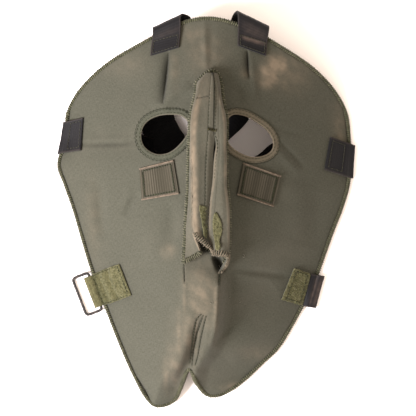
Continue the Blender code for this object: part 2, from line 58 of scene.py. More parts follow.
SHELL_THICK = 1.2
LINING_THICK = 1.4
LAYER_GAP = 1.2
STRAP_THICK = 1.2
EDGE_THREAD_R = 1.1
FOOT_HEIGHT = 3.4
EDGE_INSET = 2.6
LINING_INSET = 7.0
FACING_WIDTH = 4.6
HINGES = {"left": ((1.6, 57.0), (-11.4, -33.0)), "right": ((7.2, 57.0), (15.2, -38.0))}
EYES = {
    "left": [(-50, 56.6), (-48.1, 63.5), (-43.5, 68.1), (-37.3, 70.8), (-31.2, 71.8), (-25, 71.8),
             (-19.5, 71), (-15, 67.5), (-13.6, 62), (-14.8, 56.5), (-18, 51.4), (-23.5, 45.8),
             (-29.6, 42.2), (-37.3, 41.4), (-44.3, 44.3), (-48.9, 49.7)],
    "right": [(15.6, 66.5), (18.2, 70.4), (22.5, 71.9), (28.8, 70.9), (34, 68.6), (39.7, 65.1),
              (45.5, 60.9), (49.7, 55.3), (51.3, 49.8), (50.1, 44.8), (46.4, 41.5), (41.3, 39.7),
              (35.5, 39.2), (28.8, 40.9), (21.3, 45), (16.4, 50.6), (14.6, 58)]}

# The drawn outline, within a few millimetres of the CAD's.
LEFT_EDGE = [(-108.9, 74), (-109.6, 56), (-115.9, 35), (-111, 19), (-104.2, 0), (-98.9, -18),
             (-90.6, -45.8), (-83.3, -64.6), (-78.6, -78.1), (-67.5, -106.4), (-57.4, -129.4),
             (-46.8, -148.5)]
CHIN_EDGE = [(-37.6, -154.6), (-24.3, -149.6), (-17.3, -134.4), (-13.1, -124.5), (-8.9, -134.4),
             (-2, -144), (6, -146.8), (15.6, -143.7)]
RIGHT_EDGE = [(29.8, -133.9), (44.6, -120), (58, -106.4), (74.2, -78.3), (82.8, -62), (88.9, -46),
              (98.9, -18), (105.9, 0), (111.3, 19), (112.4, 38), (111.8, 56), (110, 72)]
TOP_EDGE = [(105, 83.9), (95.1, 97.4), (79.7, 111.3), (58.1, 125.1), (36, 137.5), (20, 143.6),
            (4.3, 146.7), (-12.3, 145.2), (-30, 138.2), (-55, 125.1), (-78.2, 111.3), (-98.2, 92.8)]

# By y: the shell's crest, the two creases beside it, and what shapes its sides.
CREST_HEIGHT = [(-156, 5), (-140, 15), (-125, 28), (-100, 42), (-75, 50), (-45, 55), (0, 60),
                (60, 58), (100, 51), (147, 39)]
LEFT_CREASE = [(-155, -40), (-136, -35), (-120, -25), (-100, -21), (-82, -17.7), (-45, -16.5),
               (0, -12), (70, -8), (110, -1), (150, -1)]
RIGHT_CREASE = [(-155, -12), (-125, -9), (-114, -2), (-99, 5), (-82, 7.5), (-45, 9.5), (0, 13),
                (70, 12), (110, -1), (150, -1)]
RIGHT_DROP = [(-155, 0), (-140, 3), (-120, 7), (-90, 9), (-60, 7), (-40, 2), (-20, 0), (150, 0)]
SEAM_DIP = [(-155, 2), (-125, 7), (-100, 5), (-78, 0), (150, 0)]
ARCH_POWER = [(-155, 1.15), (-60, 1.12), (0, 1.2), (60, 1.3), (110, 1.5), (150, 1.6)]
DROP_WIDTH = 12.0

# The nose cover, by y: its feet, creases and height.
COVER_TOP = 105.5
COVER_LEFT_FOOT = [(-51, -18.4), (-42, -18.3), (-22.7, -17.7), (-3.6, -16.7), (16, -15.4),
                   (50, -14.5), (63.5, -14), (76, -12.4), (87, -9.6), (95.2, -8.9),
                   (99.6, -5.2), (104, 0.6), (105.5, 3)]
COVER_RIGHT_FOOT = [(-51, 9.6), (-49, 10.1), (-44, 12.8), (-39, 15.6), (-33, 17.2), (-16, 17.9),
                    (-3.6, 17.7), (22, 15.5), (50, 15.4), (57, 16.0), (70, 16.4), (76, 15.0),
                    (87, 13.3), (95, 12.4), (100.3, 10.9), (104.8, 7.4), (105.5, 6)]
COVER_LEFT_CREASE = [(-51, -3.2), (-33.6, -3.9), (-25.3, -7.1), (-18.9, -9.4), (-10, -10.9),
                     (3, -11), (22, -11.3), (44, -12), (57, -12), (70, -11), (83, -8.2),
                     (95, -5.4), (100, -2.4), (105.5, 3.6)]
COVER_RIGHT_CREASE = [(-51, 12), (-44.5, 14.6), (-38.7, 15.6), (-29, 16.6), (-16, 17), (-3.6, 16.8),
                      (22, 14.5), (50, 14.4), (57, 14.4), (70, 13.4), (76, 12.2), (87, 9.8),
                      (95, 8.4), (100, 7.2), (105.5, 5.4)]
COVER_HEIGHT = [(-50, 60), (-40, 62), (-30, 66), (20, 72), (58, 71), (80, 65.5), (95, 60),
                (105.5, 55)]
COVER_PEAK = [(-50, 0), (50, 0), (66, 0.5), (85, 1.0), (105.5, 0.3)]
COVER_LIFT = 2.0

# Measures of the drawn pieces.
COVER_THICK = SHELL_THICK * 0.8
WEB_THICK = STRAP_THICK * 0.9
PATCH_THICK = 1.2
TAPE_THICK = 1.3
WEB_WIDTH = 25
LINING_LOWEST = 2.0
NOSE_OPENING = (1.5, 4.0, 7.5, 36.0)  # centre and half-widths


# ------------------------------------------------------------------ curves and surfaces

def along(knots, t):
    """Smooth values between (t, value) knots at each of t, held constant past either end."""
    ts, vs = np.array(knots, float).T
    slopes = np.diff(vs) / np.diff(ts)
    rates = np.zeros(len(ts))
    product = slopes[:-1] * slopes[1:]
    safe = np.where(product > 0, slopes[:-1] + slopes[1:], 1.0)
    rates[1:-1] = np.where(product > 0, 2 * product / safe, 0.0)
    t = np.clip(np.asarray(t, float), ts[0], ts[-1])
    i = np.clip(np.searchsorted(ts, t, side="right") - 1, 0, len(ts) - 2)
    width = ts[i + 1] - ts[i]
    s = (t - ts[i]) / width
    return (vs[i] * (1 + 2 * s) * (1 - s) ** 2 + vs[i + 1] * s * s * (3 - 2 * s)
            + width * (rates[i] * s * (1 - s) ** 2 + rates[i + 1] * s * s * (s - 1)))


def smooth_path(points, steps, closed=False):
    """Catmull-Rom curve through the points, which may hold any number of values each."""
    pts = np.array(points, float)
    n = len(pts)
    s = (np.arange(steps) / steps)[:, None]
    out = []
    for i in range(n if closed else n - 1):
        if closed:
            a, b, c, d = (pts[(i + k) % n] for k in (-1, 0, 1, 2))
        else:
            b, c = pts[i], pts[i + 1]
            a = pts[i - 1] if i else 2 * b - c
            d = pts[i + 2] if i + 2 < n else 2 * c - b
        out.append(0.5 * (2 * b + (c - a) * s + (2 * a - 5 * b + 4 * c - d) * s * s
                          + (3 * b - a - 3 * c + d) * s ** 3))
    if not closed:
        out.append(pts[-1:])
    return np.concatenate(out)


def run_lengths(points):
    """How far along the points each of them is."""
    return np.concatenate(([0], np.cumsum(np.linalg.norm(np.diff(points, axis=0), axis=1))))


def resample(places, grid, values):
    """Rows of values, which stand at grid, read off at the places."""
    return np.column_stack([np.interp(places, grid, column) for column in values.T])


def even_path(path, step, closed=False):
    """The path with points about step apart."""
    pts = closed_loop(path) if closed else np.asarray(path, float)
    length = run_lengths(pts)
    places = np.linspace(0, length[-1], max(int(round(length[-1] / step)), 2) + 1)
    return resample(places[:-1] if closed else places, length, pts)


def closed_loop(path):
    """The loop with its first point again at its end."""
    return np.vstack((path, path[:1]))


def unit(vectors):
    """The vectors at length one."""
    return vectors / np.maximum(np.linalg.norm(vectors, axis=-1, keepdims=True), 1e-9)


def tangents(path, closed=False):
    """Unit directions along the path."""
    if closed:
        return unit(np.roll(path, -1, axis=0) - np.roll(path, 1, axis=0))
    return unit(np.gradient(path, axis=0))


def bell(t, power=2):
    """A bump of height 1 at 0 that fades to 0 on both sides."""
    return np.exp(-t ** power)


def outline(inset=0.0):
    """The mask's outline, moved inwards by inset."""
    path = smooth_path(LEFT_EDGE + CHIN_EDGE + RIGHT_EDGE + TOP_EDGE, 6, closed=True)
    tangent = tangents(path, closed=True)
    return path + inset * np.column_stack((-tangent[:, 1], tangent[:, 0]))


def smoothstep(t):
    """An easy climb from 0 at 0 to 1 at 1."""
    t = np.clip(t, 0.0, 1.0)
    return t * t * (3 - 2 * t)


LEFT_FOOT = sorted((y, x + EDGE_INSET) for x, y in LEFT_EDGE)
RIGHT_FOOT = sorted((y, x - EDGE_INSET) for x, y in RIGHT_EDGE)


def creases(y):
    """The two creases that bound the crest at y."""
    return along(LEFT_CREASE, y), along(RIGHT_CREASE, y)


def base_height(x, y):
    """Height of the shell's upper face without its wrinkles."""
    crest = along(CREST_HEIGHT, y)
    left, right = creases(y)
    power = along(ARCH_POWER, y)
    u_left = np.clip((left - x) / np.maximum(left - along(LEFT_FOOT, y), 1.0), 0, 1.3)
    u_right = np.clip((x - right) / np.maximum(along(RIGHT_FOOT, y) - right, 1.0), 0, 1.3)
    drop = along(RIGHT_DROP, y) * smoothstep((x - right) / DROP_WIDTH)
    on_left = FOOT_HEIGHT + (crest - FOOT_HEIGHT) * (1 - u_left ** power)
    on_right = FOOT_HEIGHT + (crest - drop - FOOT_HEIGHT) * (1 - u_right ** power)
    v = np.clip((x - left) / np.maximum(right - left, 0.001), 0, 1)
    between = crest - along(SEAM_DIP, y) * bell((v - 0.53) / 0.27)
    return np.where(x < left, on_left, np.where(x > right, on_right, between))


def line_field(x, y, points):
    """Distance from a polyline, how far along it the nearest place is, from 0 to 1, and which side
    of it the place is on: 1 on the right of its direction, -1 on the left."""
    pts = np.array(points, float)
    starts = run_lengths(pts)
    best = np.full(np.shape(x), 1e9)
    where = np.zeros(np.shape(x))
    side = np.zeros(np.shape(x))
    for a, b, start in zip(pts[:-1], pts[1:], starts):
        length = np.linalg.norm(b - a)
        d = (b - a) / length
        t = np.clip((x - a[0]) * d[0] + (y - a[1]) * d[1], 0, length)
        gap = np.hypot(x - a[0] - t * d[0], y - a[1] - t * d[1])
        nearer = gap < best
        best = np.where(nearer, gap, best)
        where = np.where(nearer, (start + t) / starts[-1], where)
        side = np.where(nearer, (x - a[0]) * d[1] - (y - a[1]) * d[0], side)
    return best, where, np.sign(side)


def fold(x, y, points, height, width):
    """A soft ridge, or a valley where height is negative, along the points, fading at its ends."""
    gap, where, _ = line_field(x, y, points)
    return height * np.sin(np.pi * np.clip(where, 0, 1)) ** 0.6 * bell(gap / width)


def waves(x, y, seed, size):
    """Smooth random relief between about -1 and 1, with bumps about size across."""
    rng = np.random.default_rng(seed)
    total = np.zeros(np.shape(x))
    for _ in range(9):
        angle = rng.uniform(0, 2 * math.pi)
        scale = 2 * math.pi / (size * rng.uniform(1.2, 2.6))
        phase = rng.uniform(0, 2 * math.pi)
        total += np.sin((x * math.cos(angle) + y * math.sin(angle)) * scale + phase)
    return total / 4.5


# Where the cloth is stitched or creased sharply: the darts, the chin seam and the seams beside
# the nose cover's feet. The shell's mesh follows these lines.
LEFT_DART = [(-29.0, 121), (-29.6, 112), (-30.8, 100), (-32.4, 88), (-33.4, 80)]
RIGHT_DART = [(31.4, 122), (31.8, 112), (32.0, 105), (33.0, 99)]
CHIN_SEAM_LEFT = [(-4, -80.4), (-7.7, -84.9), (-9.6, -93.7), (-11.4, -107), (-13.3, -122)]
CHIN_SEAM_MIDDLE = [(-2.5, -81.2), (-4.6, -87.5), (-6.9, -94.4), (-9.9, -108.4), (-11.3, -121.7)]
CHIN_SEAM_RIGHT = [(-0.4, -81.9), (-2.2, -90), (-4, -98.1), (-6.9, -114.3), (-9.2, -121.5)]
LEFT_CHEEK_CREASE = [(-98, 49.4), (-80, 49.6), (-62, 50), (-53, 52)]
LEFT_FOOT_SEAM = [(-17.4, -42), (-16.9, -50), (-16.8, -58)]
RIGHT_FOOT_SEAM = [(10.6, -47), (9.9, -52), (9.6, -59)]


def step_fold(x, y, points, drop, width):
    """A fold lapped over the cloth on the line's right, which sinks towards the line there and
    steps up sharply across it."""
    gap, where, side = line_field(x, y, points)
    taper = np.sin(np.pi * np.clip(where, 0.0, 1.0)) ** 0.5
    return -drop * taper * np.where(side > 0, np.exp(-gap / width), bell(gap / 0.7))


def under_tube(x, y):
    """How far inside the mouth of the right flap's tube a place is, from 0 to 1."""
    return np.exp(-((x - 9.4 + 0.32 * (y + 41.5)) / 3.3) ** 4 - ((y + 41.8) / 5.6) ** 4)


# The soft folds: each one's line, its height, negative for a valley, and its width.
FOLDS = [
    ([(-24.5, 118), (-26, 100), (-29, 84)], 1.0, 3.5),
    ([(34.6, 116), (36, 100), (37.5, 84)], 1.0, 2.2),
    ([(41, 112), (41.5, 96), (41, 80)], -0.9, 3.0), ([(27.5, 95), (26, 87), (24, 79)], -1.8, 4.5),
    ([(-1.6, 147), (-1.2, 128), (0, 104)], 0.8, 2.2),
    ([(4.5, 147), (4, 128), (3.5, 106)], -0.5, 3.0), (LEFT_CHEEK_CREASE, -1.8, 1.8),
    ([(-98, 53), (-80, 53.4), (-60, 54)], 0.9, 2.5),
    ([(-12, 95), (-22, 89), (-31, 82), (-42, 77)], 1.8, 3.4),
    ([(-10, 86), (-20, 83), (-30, 76)], -1.6, 4.0),
    ([(52, 54), (60, 46), (68, 38), (76, 31)], -1.5, 2.4),
    ([(50, 48), (58, 41), (66, 33), (72, 26)], 1.2, 3.6),
    ([(52, 62), (64, 59), (76, 57)], -0.6, 2.2),
    ([(17, -45.8), (28, -47.4), (44, -49.4), (66, -52)], -1.5, 2.6),
    ([(17, -50), (30, -52), (60, -56)], 0.8, 4.0),
    ([(6, -104), (18, -92), (34, -74), (52, -60)], -2.6, 7.5),
    ([(22, -90), (11, -98), (4, -106), (-4, -118)], -1.8, 2.4),
    ([(16, -116), (34, -103), (56, -90), (78, -80)], 1.8, 7.0),
    ([(-83, 22), (-82.5, 4), (-80, -24)], -2.4, 4.5),
    ([(-94, 20), (-92, 0), (-88, -24)], 0.9, 7.0), ([(-63, -6), (-57, 5), (-51, 12)], -2.3, 2.8),
    ([(-66, 2), (-62, 8), (-57, 16)], 0.8, 3.2), ([(-28, 6), (-26, -10), (-28, -32)], -2.2, 6.0),
    ([(-46, -4), (-44, -24), (-40, -44)], 1.2, 8.0),
    ([(-70, -60), (-52, -64), (-34, -62)], -1.2, 8.0),
    ([(-66, -84), (-48, -82), (-30, -84)], 1.0, 8.0), ([(70, 20), (72, 0), (66, -22)], 1.4, 9.0),
    ([(88, 12), (84, -8), (80, -30)], -1.2, 8.0),
    ([(-15.5, -36), (-16.6, -58), (-17.6, -78)], 0.8, 2.2),
    ([(-10, -78), (-12.5, -90), (-15.5, -104), (-19, -118), (-26, -138)], 3.8, 5.0),
    ([(9.4, -54), (8, -70), (7.4, -84), (4.6, -100), (-0.5, -114)], 0.9, 2.0),
    (CHIN_SEAM_LEFT, -0.8, 0.7), (CHIN_SEAM_RIGHT, -0.9, 0.7), (CHIN_SEAM_MIDDLE, -1.6, 0.7),
    ([(1.6, -86), (0.4, -98), (-3.2, -112), (-7.6, -121)], 0.8, 1.6), (LEFT_FOOT_SEAM, -1.0, 0.8),
    (RIGHT_FOOT_SEAM, -1.2, 0.9)]


def wrinkles(x, y):
    """The shell's folds, darts and dents."""
    z = step_fold(x, y, LEFT_DART, 4.8, 3.2) + step_fold(x, y, RIGHT_DART, 3.2, 1.7)
    for points, height, width in FOLDS:
        z += fold(x, y, points, height, width)
    left, right = creases(y)
    middle, half = 0.5 * (left + right), 0.5 * (right - left)
    across = np.clip(1 - ((x - middle) / np.maximum(half, 1.0)) ** 2, 0, 1)
    lean = np.clip((x - middle) / np.maximum(2 * half, 1.0) + 0.5, 0, 1)
    lean *= 1 - smoothstep((x - middle - half) / 7)
    z += 4.5 * lean * smoothstep((-44 - y) / 14) * smoothstep((y + 112) / 26)
    z += 2.4 * across * smoothstep((-38 - y) / 14) * smoothstep((y + 92) / 24)
    z -= 6.0 * under_tube(x, y)
    inner = smoothstep((base_height(x, y) - FOOT_HEIGHT) / 18)
    return z + inner * (0.55 * waves(x, y, 3, 46) + 0.16 * waves(x, y, 5, 15))


def face_height(x, y):
    """Height of the shell's upper face, wrinkles and all."""
    x, y = np.asarray(x, float), np.asarray(y, float)
    return base_height(x, y) + wrinkles(x, y)


def face_normal(x, y):
    """Unit normals of the shell's upper face."""
    step = 1.0
    gx = (face_height(x + step, y) - face_height(x - step, y)) / (2 * step)
    gy = (face_height(x, y + step) - face_height(x, y - step)) / (2 * step)
    return unit(np.stack((-gx, -gy, np.ones(np.shape(gx))), axis=-1))


def on_face(points, lift=0.0):
    """Plan points set on the shell, lift above it."""
    pts = np.asarray(points, float)
    z = face_height(pts[:, 0], pts[:, 1]) + lift
    return np.column_stack((pts[:, 0], pts[:, 1], z))


def nose_opening(margin):
    """The breathing opening's outline, grown by margin."""
    cx, cy, rx, ry = NOSE_OPENING
    a = 2 * math.pi * np.arange(60) / 60
    return np.column_stack((cx + (rx + margin) * np.cos(a), cy + (ry + margin) * np.sin(a)))


# ------------------------------------------------------------------ materials

LIGHT_GAIN = 5.4  # light on the lit side, against what shows a surface in its own colour


def linear(rgb, gain=LIGHT_GAIN):
    """Linear base colour of a surface that looks like these 8-bit values on the lit side."""
    c = np.array(rgb, float) / 255
    c = np.where(c <= 0.04045, c / 12.92, ((c + 0.055) / 1.055) ** 2.4) / gain
    return tuple(float(v) for v in c) + (1.0,)


class Nodes:
    """Short calls for building one material's nodes. Inputs are plain values or other outputs."""

    def __init__(self, name, roughness, sheen=0.0):
        self.material = bpy.data.materials.new(name)
        self.material.use_nodes = True
        self.tree = self.material.node_tree
        self.shader = self.tree.nodes["Principled BSDF"]
        for key, value in (("Roughness", roughness), ("Specular IOR Level", 0.08),
                           ("Sheen Weight", sheen), ("Sheen Roughness", 0.6)):
            self.shader.inputs[key].default_value = value

    def plug(self, value, socket):
        if isinstance(value, bpy.types.NodeSocket):
            self.tree.links.new(value, socket)
        else:
            socket.default_value = value

    def node(self, kind, output, inputs, **settings):
        """An output of a new node with these inputs and settings."""
        made = self.tree.nodes.new("ShaderNode" + kind)
        for key, value in settings.items():
            setattr(made, key, value)
        for key, value in inputs.items():
            self.plug(value, made.inputs[key])
        return made.outputs[output]

    def place(self, kind="UV", scale=(1, 1, 1), turn=0.0):
        return self.node("Mapping", "Vector", {"Vector": self.node("TexCoord", kind, {}),
                                               "Scale": scale, "Rotation": (0, 0, turn)})

    def noise(self, vector, scale, detail=3.0, roughness=0.55):
        return self.node("TexNoise", "Fac", {"Vector": vector, "Scale": scale, "Detail": detail,
                                             "Roughness": roughness})

    def wave(self, vector, scale, direction, distortion=0.0):
        return self.node("TexWave", "Fac", {"Vector": vector, "Scale": scale,
                                            "Distortion": distortion, "Detail Scale": 2.0},
                         bands_direction=direction)

    def times(self, a, b, clamp=False):
        return self.node("Math", 0, {0: a, 1: b}, operation="MULTIPLY", use_clamp=clamp)

    def plus(self, a, b):
        return self.node("Math", 0, {0: a, 1: b}, operation="ADD")

    def ramp(self, value, low, high):
        return self.node("MapRange", "Result", {"Value": value, "From Min": low, "From Max": high},
                         clamp=True, interpolation_type="SMOOTHSTEP")

    def mix(self, share, a, b):
        return self.node("Mix", 2, {0: share, 6: a, 7: b}, data_type="RGBA")

    def tint(self, color, rgb, share, by):
        """The colour with share times by of rgb over it."""
        return self.mix(self.times(share, by), color, linear(rgb))

    def marked(self, color, rgb, name, by):
        """The colour with rgb over it where the mesh's attribute of that name says."""
        value = self.node("Attribute", "Fac", {}, attribute_name=name)
        return self.mix(self.times(value, by, True), color, linear(rgb))

    def finish(self, color, bump, strength, distance):
        normal = self.node("Bump", "Normal",
                           {"Strength": strength, "Distance": distance, "Height": bump})
        self.plug(color, self.shader.inputs["Base Color"])
        self.plug(normal, self.shader.inputs["Normal"])
        return self.material


def weave(n, uv, per_mm):
    """Height of a plain weave with that many threads a millimetre."""
    scale = per_mm * 1000 * math.pi / 10
    return n.times(n.plus(n.wave(uv, scale, "X"), n.wave(uv, scale, "Y")), 0.5)


def cloth_material(name, rgb, faded, shade, turn):
    """Dull woven cotton: fine weave, slubs, fading in patches and darker dirt."""
    n = Nodes(name, 0.95, 0.03)
    threads = weave(n, n.place(), 1.6)
    slubs = n.noise(n.place(scale=(1, 6, 1)), 420, 2)
    slubs_up = n.noise(n.place(scale=(6, 1, 1)), 420, 2)
    mottle = n.noise(n.place(turn=turn), 900, 2)
    patches = n.ramp(n.noise(n.place(turn=0.4 + turn), 22, 4), 0.45, 0.75)
    dirt_and_shade = n.ramp(n.noise(n.place(turn=1.3 + turn), 34, 5), 0.5, 0.8)
    grain = n.plus(n.times(slubs, 0.5), n.times(slubs_up, 0.5))
    color = n.mix(n.ramp(grain, 0.35, 0.65), linear(shade), linear(rgb))
    color = n.tint(color, faded, n.ramp(mottle, 0.35, 0.7), 0.2)
    color = n.tint(color, faded, patches, 0.22)
    color = n.tint(color, shade, dirt_and_shade, 0.25)
    # Paler where the wear attribute says: rubbed cloth, painted highlight along creases, and painted
    # light that lifts the right eye ring's shade.
    color = n.marked(color, (214, 188, 162), "worn", 0.85)
    # Darker where the dark attribute says: dirt in the seams, and painted shade in darts, creases,
    # grooves and under the flap ends.
    color = n.marked(color, (34, 33, 24), "dark", 0.9)
    return n.finish(color, n.plus(n.times(threads, 0.6), n.times(grain, 0.8)), 0.45, 0.0004)


def thread_material(name, rgb, dark):
    """Matt spun thread."""
    n = Nodes(name, 0.85, 0.05)
    color = n.mix(n.ramp(n.noise(n.place("Object"), 500), 0.35, 0.65), linear(dark), linear(rgb))
    twist = n.wave(n.place("Object", turn=0.8), 900, "DIAGONAL")
    return n.finish(color, twist, 0.5, 0.0003)


def elastic_material(name):
    """Black ribbed elastic, greyed and dusty, paler and browner where its attribute says: wear, and
    painted sheen on the right lower tab.
    """
    n = Nodes(name, 0.6, 0.03)
    uv = n.place()
    ribs, picks = n.wave(uv, 150, "Y"), n.wave(uv, 260, "X")
    color = n.mix(ribs, linear((34, 29, 34)), linear((42, 37, 42)))
    color = n.tint(color, (72, 64, 68), n.ramp(n.noise(uv, 700), 0.5, 0.75), 0.25)
    color = n.tint(color, (50, 44, 50), n.ramp(n.noise(uv, 60), 0.45, 0.7), 0.3)
    color = n.marked(color, (160, 134, 122), "worn", 0.8)
    return n.finish(color, n.plus(ribs, n.times(picks, 0.4)), 0.35, 0.0002)


def lime_material(name):
    """Loop pile tape: fuzzy, uneven and matted."""
    n = Nodes(name, 0.95, 0.08)
    vector = n.place("Object")
    fuzz, clumps = n.noise(vector, 1400, 4, 0.7), n.noise(vector, 320, 3, 0.6)
    color = n.mix(n.ramp(fuzz, 0.3, 0.7), linear((108, 102, 62)), linear((176, 166, 118)))
    color = n.tint(color, (92, 88, 52), n.ramp(clumps, 0.5, 0.75), 0.6)
    return n.finish(color, n.plus(fuzz, n.times(clumps, 1.5)), 0.9, 0.0007)


def ribbed_material(name, rgb, dark, edge):
    """Ribbed fastener tape with a pale woven edge."""
    n = Nodes(name, 0.9, 0.03)
    uv = n.place()
    ribs, picks = n.wave(uv, 157, "X", 0.2), n.wave(uv, 700, "Y")
    color = n.mix(n.ramp(ribs, 0.3, 0.8), linear(dark), linear(rgb))
    color = n.tint(color, dark, n.ramp(n.noise(uv, 900), 0.4, 0.7), 0.35)
    color = n.marked(color, edge, "worn", 0.9)
    return n.finish(color, n.plus(ribs, n.times(picks, 0.3)), 0.5, 0.0002)


def wire_material(name):
    """Blackened wire with its finish rubbed off in places."""
    n = Nodes(name, 0.6, 0.12)
    vector = n.place("Object")
    rub = n.ramp(n.noise(vector, 260, 5, 0.65), 0.52, 0.68)
    pits = n.noise(vector, 1500)
    n.plug(n.plus(n.times(pits, 0.3), 0.25), n.shader.inputs["Roughness"])
    return n.finish(n.mix(rub, linear((74, 64, 62)), linear((140, 122, 116))), pits, 0.25, 0.0002)


def floor_material():
    """Almost white, and faintly warm."""
    n = Nodes("pale_floor", 0.7)
    vector = n.place("Object")
    color = n.mix(n.noise(vector, 40), (0.9, 0.81, 0.81, 1), (0.92, 0.83, 0.83, 1))
    return n.finish(color, n.noise(vector, 300, 2), 0.05, 0.0002)


OLIVE = cloth_material("olive_cloth", (128, 125, 111), (160, 150, 134), (106, 104, 89), 0.0)
FACING = cloth_material("facing_cloth", (124, 122, 106), (150, 148, 129), (101, 100, 83), 2.1)
LINING = cloth_material("lining_cloth", (120, 108, 96), (130, 118, 104), (100, 92, 80), 3.4)
SERGE = thread_material("serging_thread", (172, 165, 132), (118, 114, 84))
EDGE_ROLL = thread_material("edge_roll_thread", (106, 104, 78), (66, 67, 47))
COVER_THREAD = thread_material("cover_serging_thread", (184, 175, 143), (96, 96, 70))
PALE_THREAD = thread_material("hem_thread", (206, 184, 158), (138, 122, 98))
TACK_THREAD = thread_material("tack_thread", (152, 140, 84), (110, 100, 58))
STITCH = thread_material("stitch_thread", (104, 104, 76), (62, 66, 44))
TAPE_STITCH = thread_material("tape_stitch", (82, 86, 48), (54, 58, 34))
STRAP_STITCH = thread_material("strap_stitch", (104, 98, 72), (72, 68, 50))
SELVEDGE = thread_material("selvedge_thread", (200, 174, 152), (150, 126, 104))
LINT = thread_material("lint", (205, 198, 176), (170, 162, 140))
LIME_FUZZ = thread_material("lime_fuzz", (190, 186, 132), (120, 122, 72))
BLACK = elastic_material("black_elastic")
LIME = lime_material("lime_tape")
BROWN = ribbed_material("brown_tape", (126, 116, 100), (96, 88, 73), (196, 172, 154))
WIRE = wire_material("dark_wire")


# ------------------------------------------------------------------ mesh helpers

def add_mesh(name, points, faces, material, uv=None, smooth=True):
    """A mesh object from points in millimetres."""
    mesh = bpy.data.meshes.new(name)
    mesh.from_pydata((np.asarray(points) * MM).tolist(), [], [tuple(f) for f in faces])
    if uv is not None:
        layer = mesh.uv_layers.new(name="UVMap")
        loops = np.empty(len(mesh.loops), np.int32)
        mesh.loops.foreach_get("vertex_index", loops)
        layer.data.foreach_set("uv", (np.asarray(uv, np.float32) * MM)[loops].ravel())
    mesh.materials.append(material)
    if smooth:
        mesh.shade_smooth()
    obj = bpy.data.objects.new(name, mesh)
    bpy.context.scene.collection.objects.link(obj)
    return obj


def set_values(obj, **values):
    """Per-point attributes that the materials read."""
    for name, amounts in values.items():
        attribute = obj.data.attributes.new(name, "FLOAT", "POINT")
        amounts = np.broadcast_to(np.ravel(amounts), len(obj.data.vertices))
        attribute.data.foreach_set("value", amounts.astype(np.float32))


def place(obj, slot, *nodes, body="root"):
    """Hangs the object on a body and hides the nodes it stands for. slot is not used."""
    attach(obj, body)
    if nodes:
        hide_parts(*nodes)


def solidify(obj, thick, outward=False):
    """Thickness, on the outer side of a strip or on the inner side of a draped sheet."""
    solid = obj.modifiers.new("cloth", "SOLIDIFY")
    solid.thickness = thick * MM
    solid.offset = 1.0 if outward else -1.0
    solid.use_even_offset = not outward


def inside(points, loop):
    """Whether each point lies inside the closed loop."""
    x, y = points[:, 0], points[:, 1]
    result = np.zeros(len(points), bool)
    a, b = loop, np.roll(loop, -1, axis=0)
    for (ax, ay), (bx, by) in zip(a, b):
        if ay == by:
            continue
        crosses = (ay > y) != (by > y)
        result ^= crosses & (x < (bx - ax) * (y - ay) / (by - ay) + ax)
    return result


def flat_cloth(edge, holes, spacing, lines=()):
    """Triangles that fill the edge loop, leave the holes open and follow the lines, each meshed
    finely on both sides: (plan points, faces)."""
    loops = [even_path(np.asarray(loop), spacing, closed=True) for loop in [edge] + list(holes)]
    low, high = loops[0].min(axis=0), loops[0].max(axis=0)
    grid = []
    for k, y in enumerate(np.arange(low[1], high[1], spacing * 0.866)):
        xs = np.arange(low[0] + (k % 2) * spacing / 2, high[0], spacing)
        grid.append(np.column_stack((xs, np.full(len(xs), y))))
    grid = np.concatenate(grid)
    fine = []
    for line in lines:
        path = even_path(smooth_path(line, 8), spacing * 0.6)
        tangent = tangents(path)
        across = np.column_stack((-tangent[:, 1], tangent[:, 0]))
        fine += [path + offset * across for offset in (-1.5, -0.9, -0.45, 0, 0.45, 0.9, 1.5)]
    extra = np.concatenate(fine) if fine else np.zeros((0, 2))
    border = np.concatenate(loops)

    def clear_of(points, others, reach):
        cell = reach * 0.7
        near = {(int(px // cell), int(py // cell)) for px, py in others}
        near |= {(i + di, j + dj) for i, j in list(near) for di in (-1, 0, 1) for dj in (-1, 0, 1)}
        cells = [(int(px // cell), int(py // cell)) for px, py in points]
        return np.array([c not in near for c in cells], bool)

    def in_cloth(points):
        keep = inside(points, loops[0])
        for loop in loops[1:]:
            keep &= ~inside(points, loop)
        return keep

    grid = grid[in_cloth(grid)]
    grid = grid[clear_of(grid, np.concatenate((border, extra)), spacing * 0.8)]
    if len(extra):
        extra = extra[in_cloth(extra)]
        extra = extra[clear_of(extra, border, 0.5)]
    points = np.concatenate((border, grid, extra))
    edges, start = [], 0
    for loop in loops:
        count = len(loop)
        edges += [(start + k, start + (k + 1) % count) for k in range(count)]
        start += count
    verts, _, faces, _, _, _ = delaunay_2d_cdt([Vector(p) for p in points], edges, [], 1, 1e-5)
    verts = np.array([(v.x, v.y) for v in verts])
    faces = np.array(faces)
    return verts, faces[in_cloth(verts[faces].mean(axis=1))]


def tubes(name, paths, radius, material, sides=6, caps=True):
    """One mesh of round tubes along the paths, each an array of points."""
    points, faces, start = [], [], 0
    angles = 2 * math.pi * np.arange(sides) / sides
    for path in paths:
        path = np.asarray(path, float)
        tangent = tangents(path)
        normal = np.cross(tangent[0], (0.0, 0.0, 1.0) if abs(tangent[0][2]) < 0.9 else (1.0, 0, 0))
        normals = []
        for t in tangent:
            normal = unit(normal - t * np.dot(normal, t))
            normals.append(normal)
        binormals = np.cross(tangent, normals)
        ring = path[:, None, :] + radius * (
            np.cos(angles)[None, :, None] * np.array(normals)[:, None, :]
            + np.sin(angles)[None, :, None] * binormals[:, None, :])
        points.append(ring.reshape(-1, 3))
        count = len(path)
        for a in range(start, start + (count - 1) * sides, sides):
            b = a + sides
            faces += [(a + k, a + (k + 1) % sides, b + (k + 1) % sides, b + k)
                      for k in range(sides)]
        if caps:
            faces.append(tuple(start + sides - 1 - k for k in range(sides)))
            faces.append(tuple(start + (count - 1) * sides + k for k in range(sides)))
        start += count * sides
    return add_mesh(name, np.concatenate(points), faces, material)


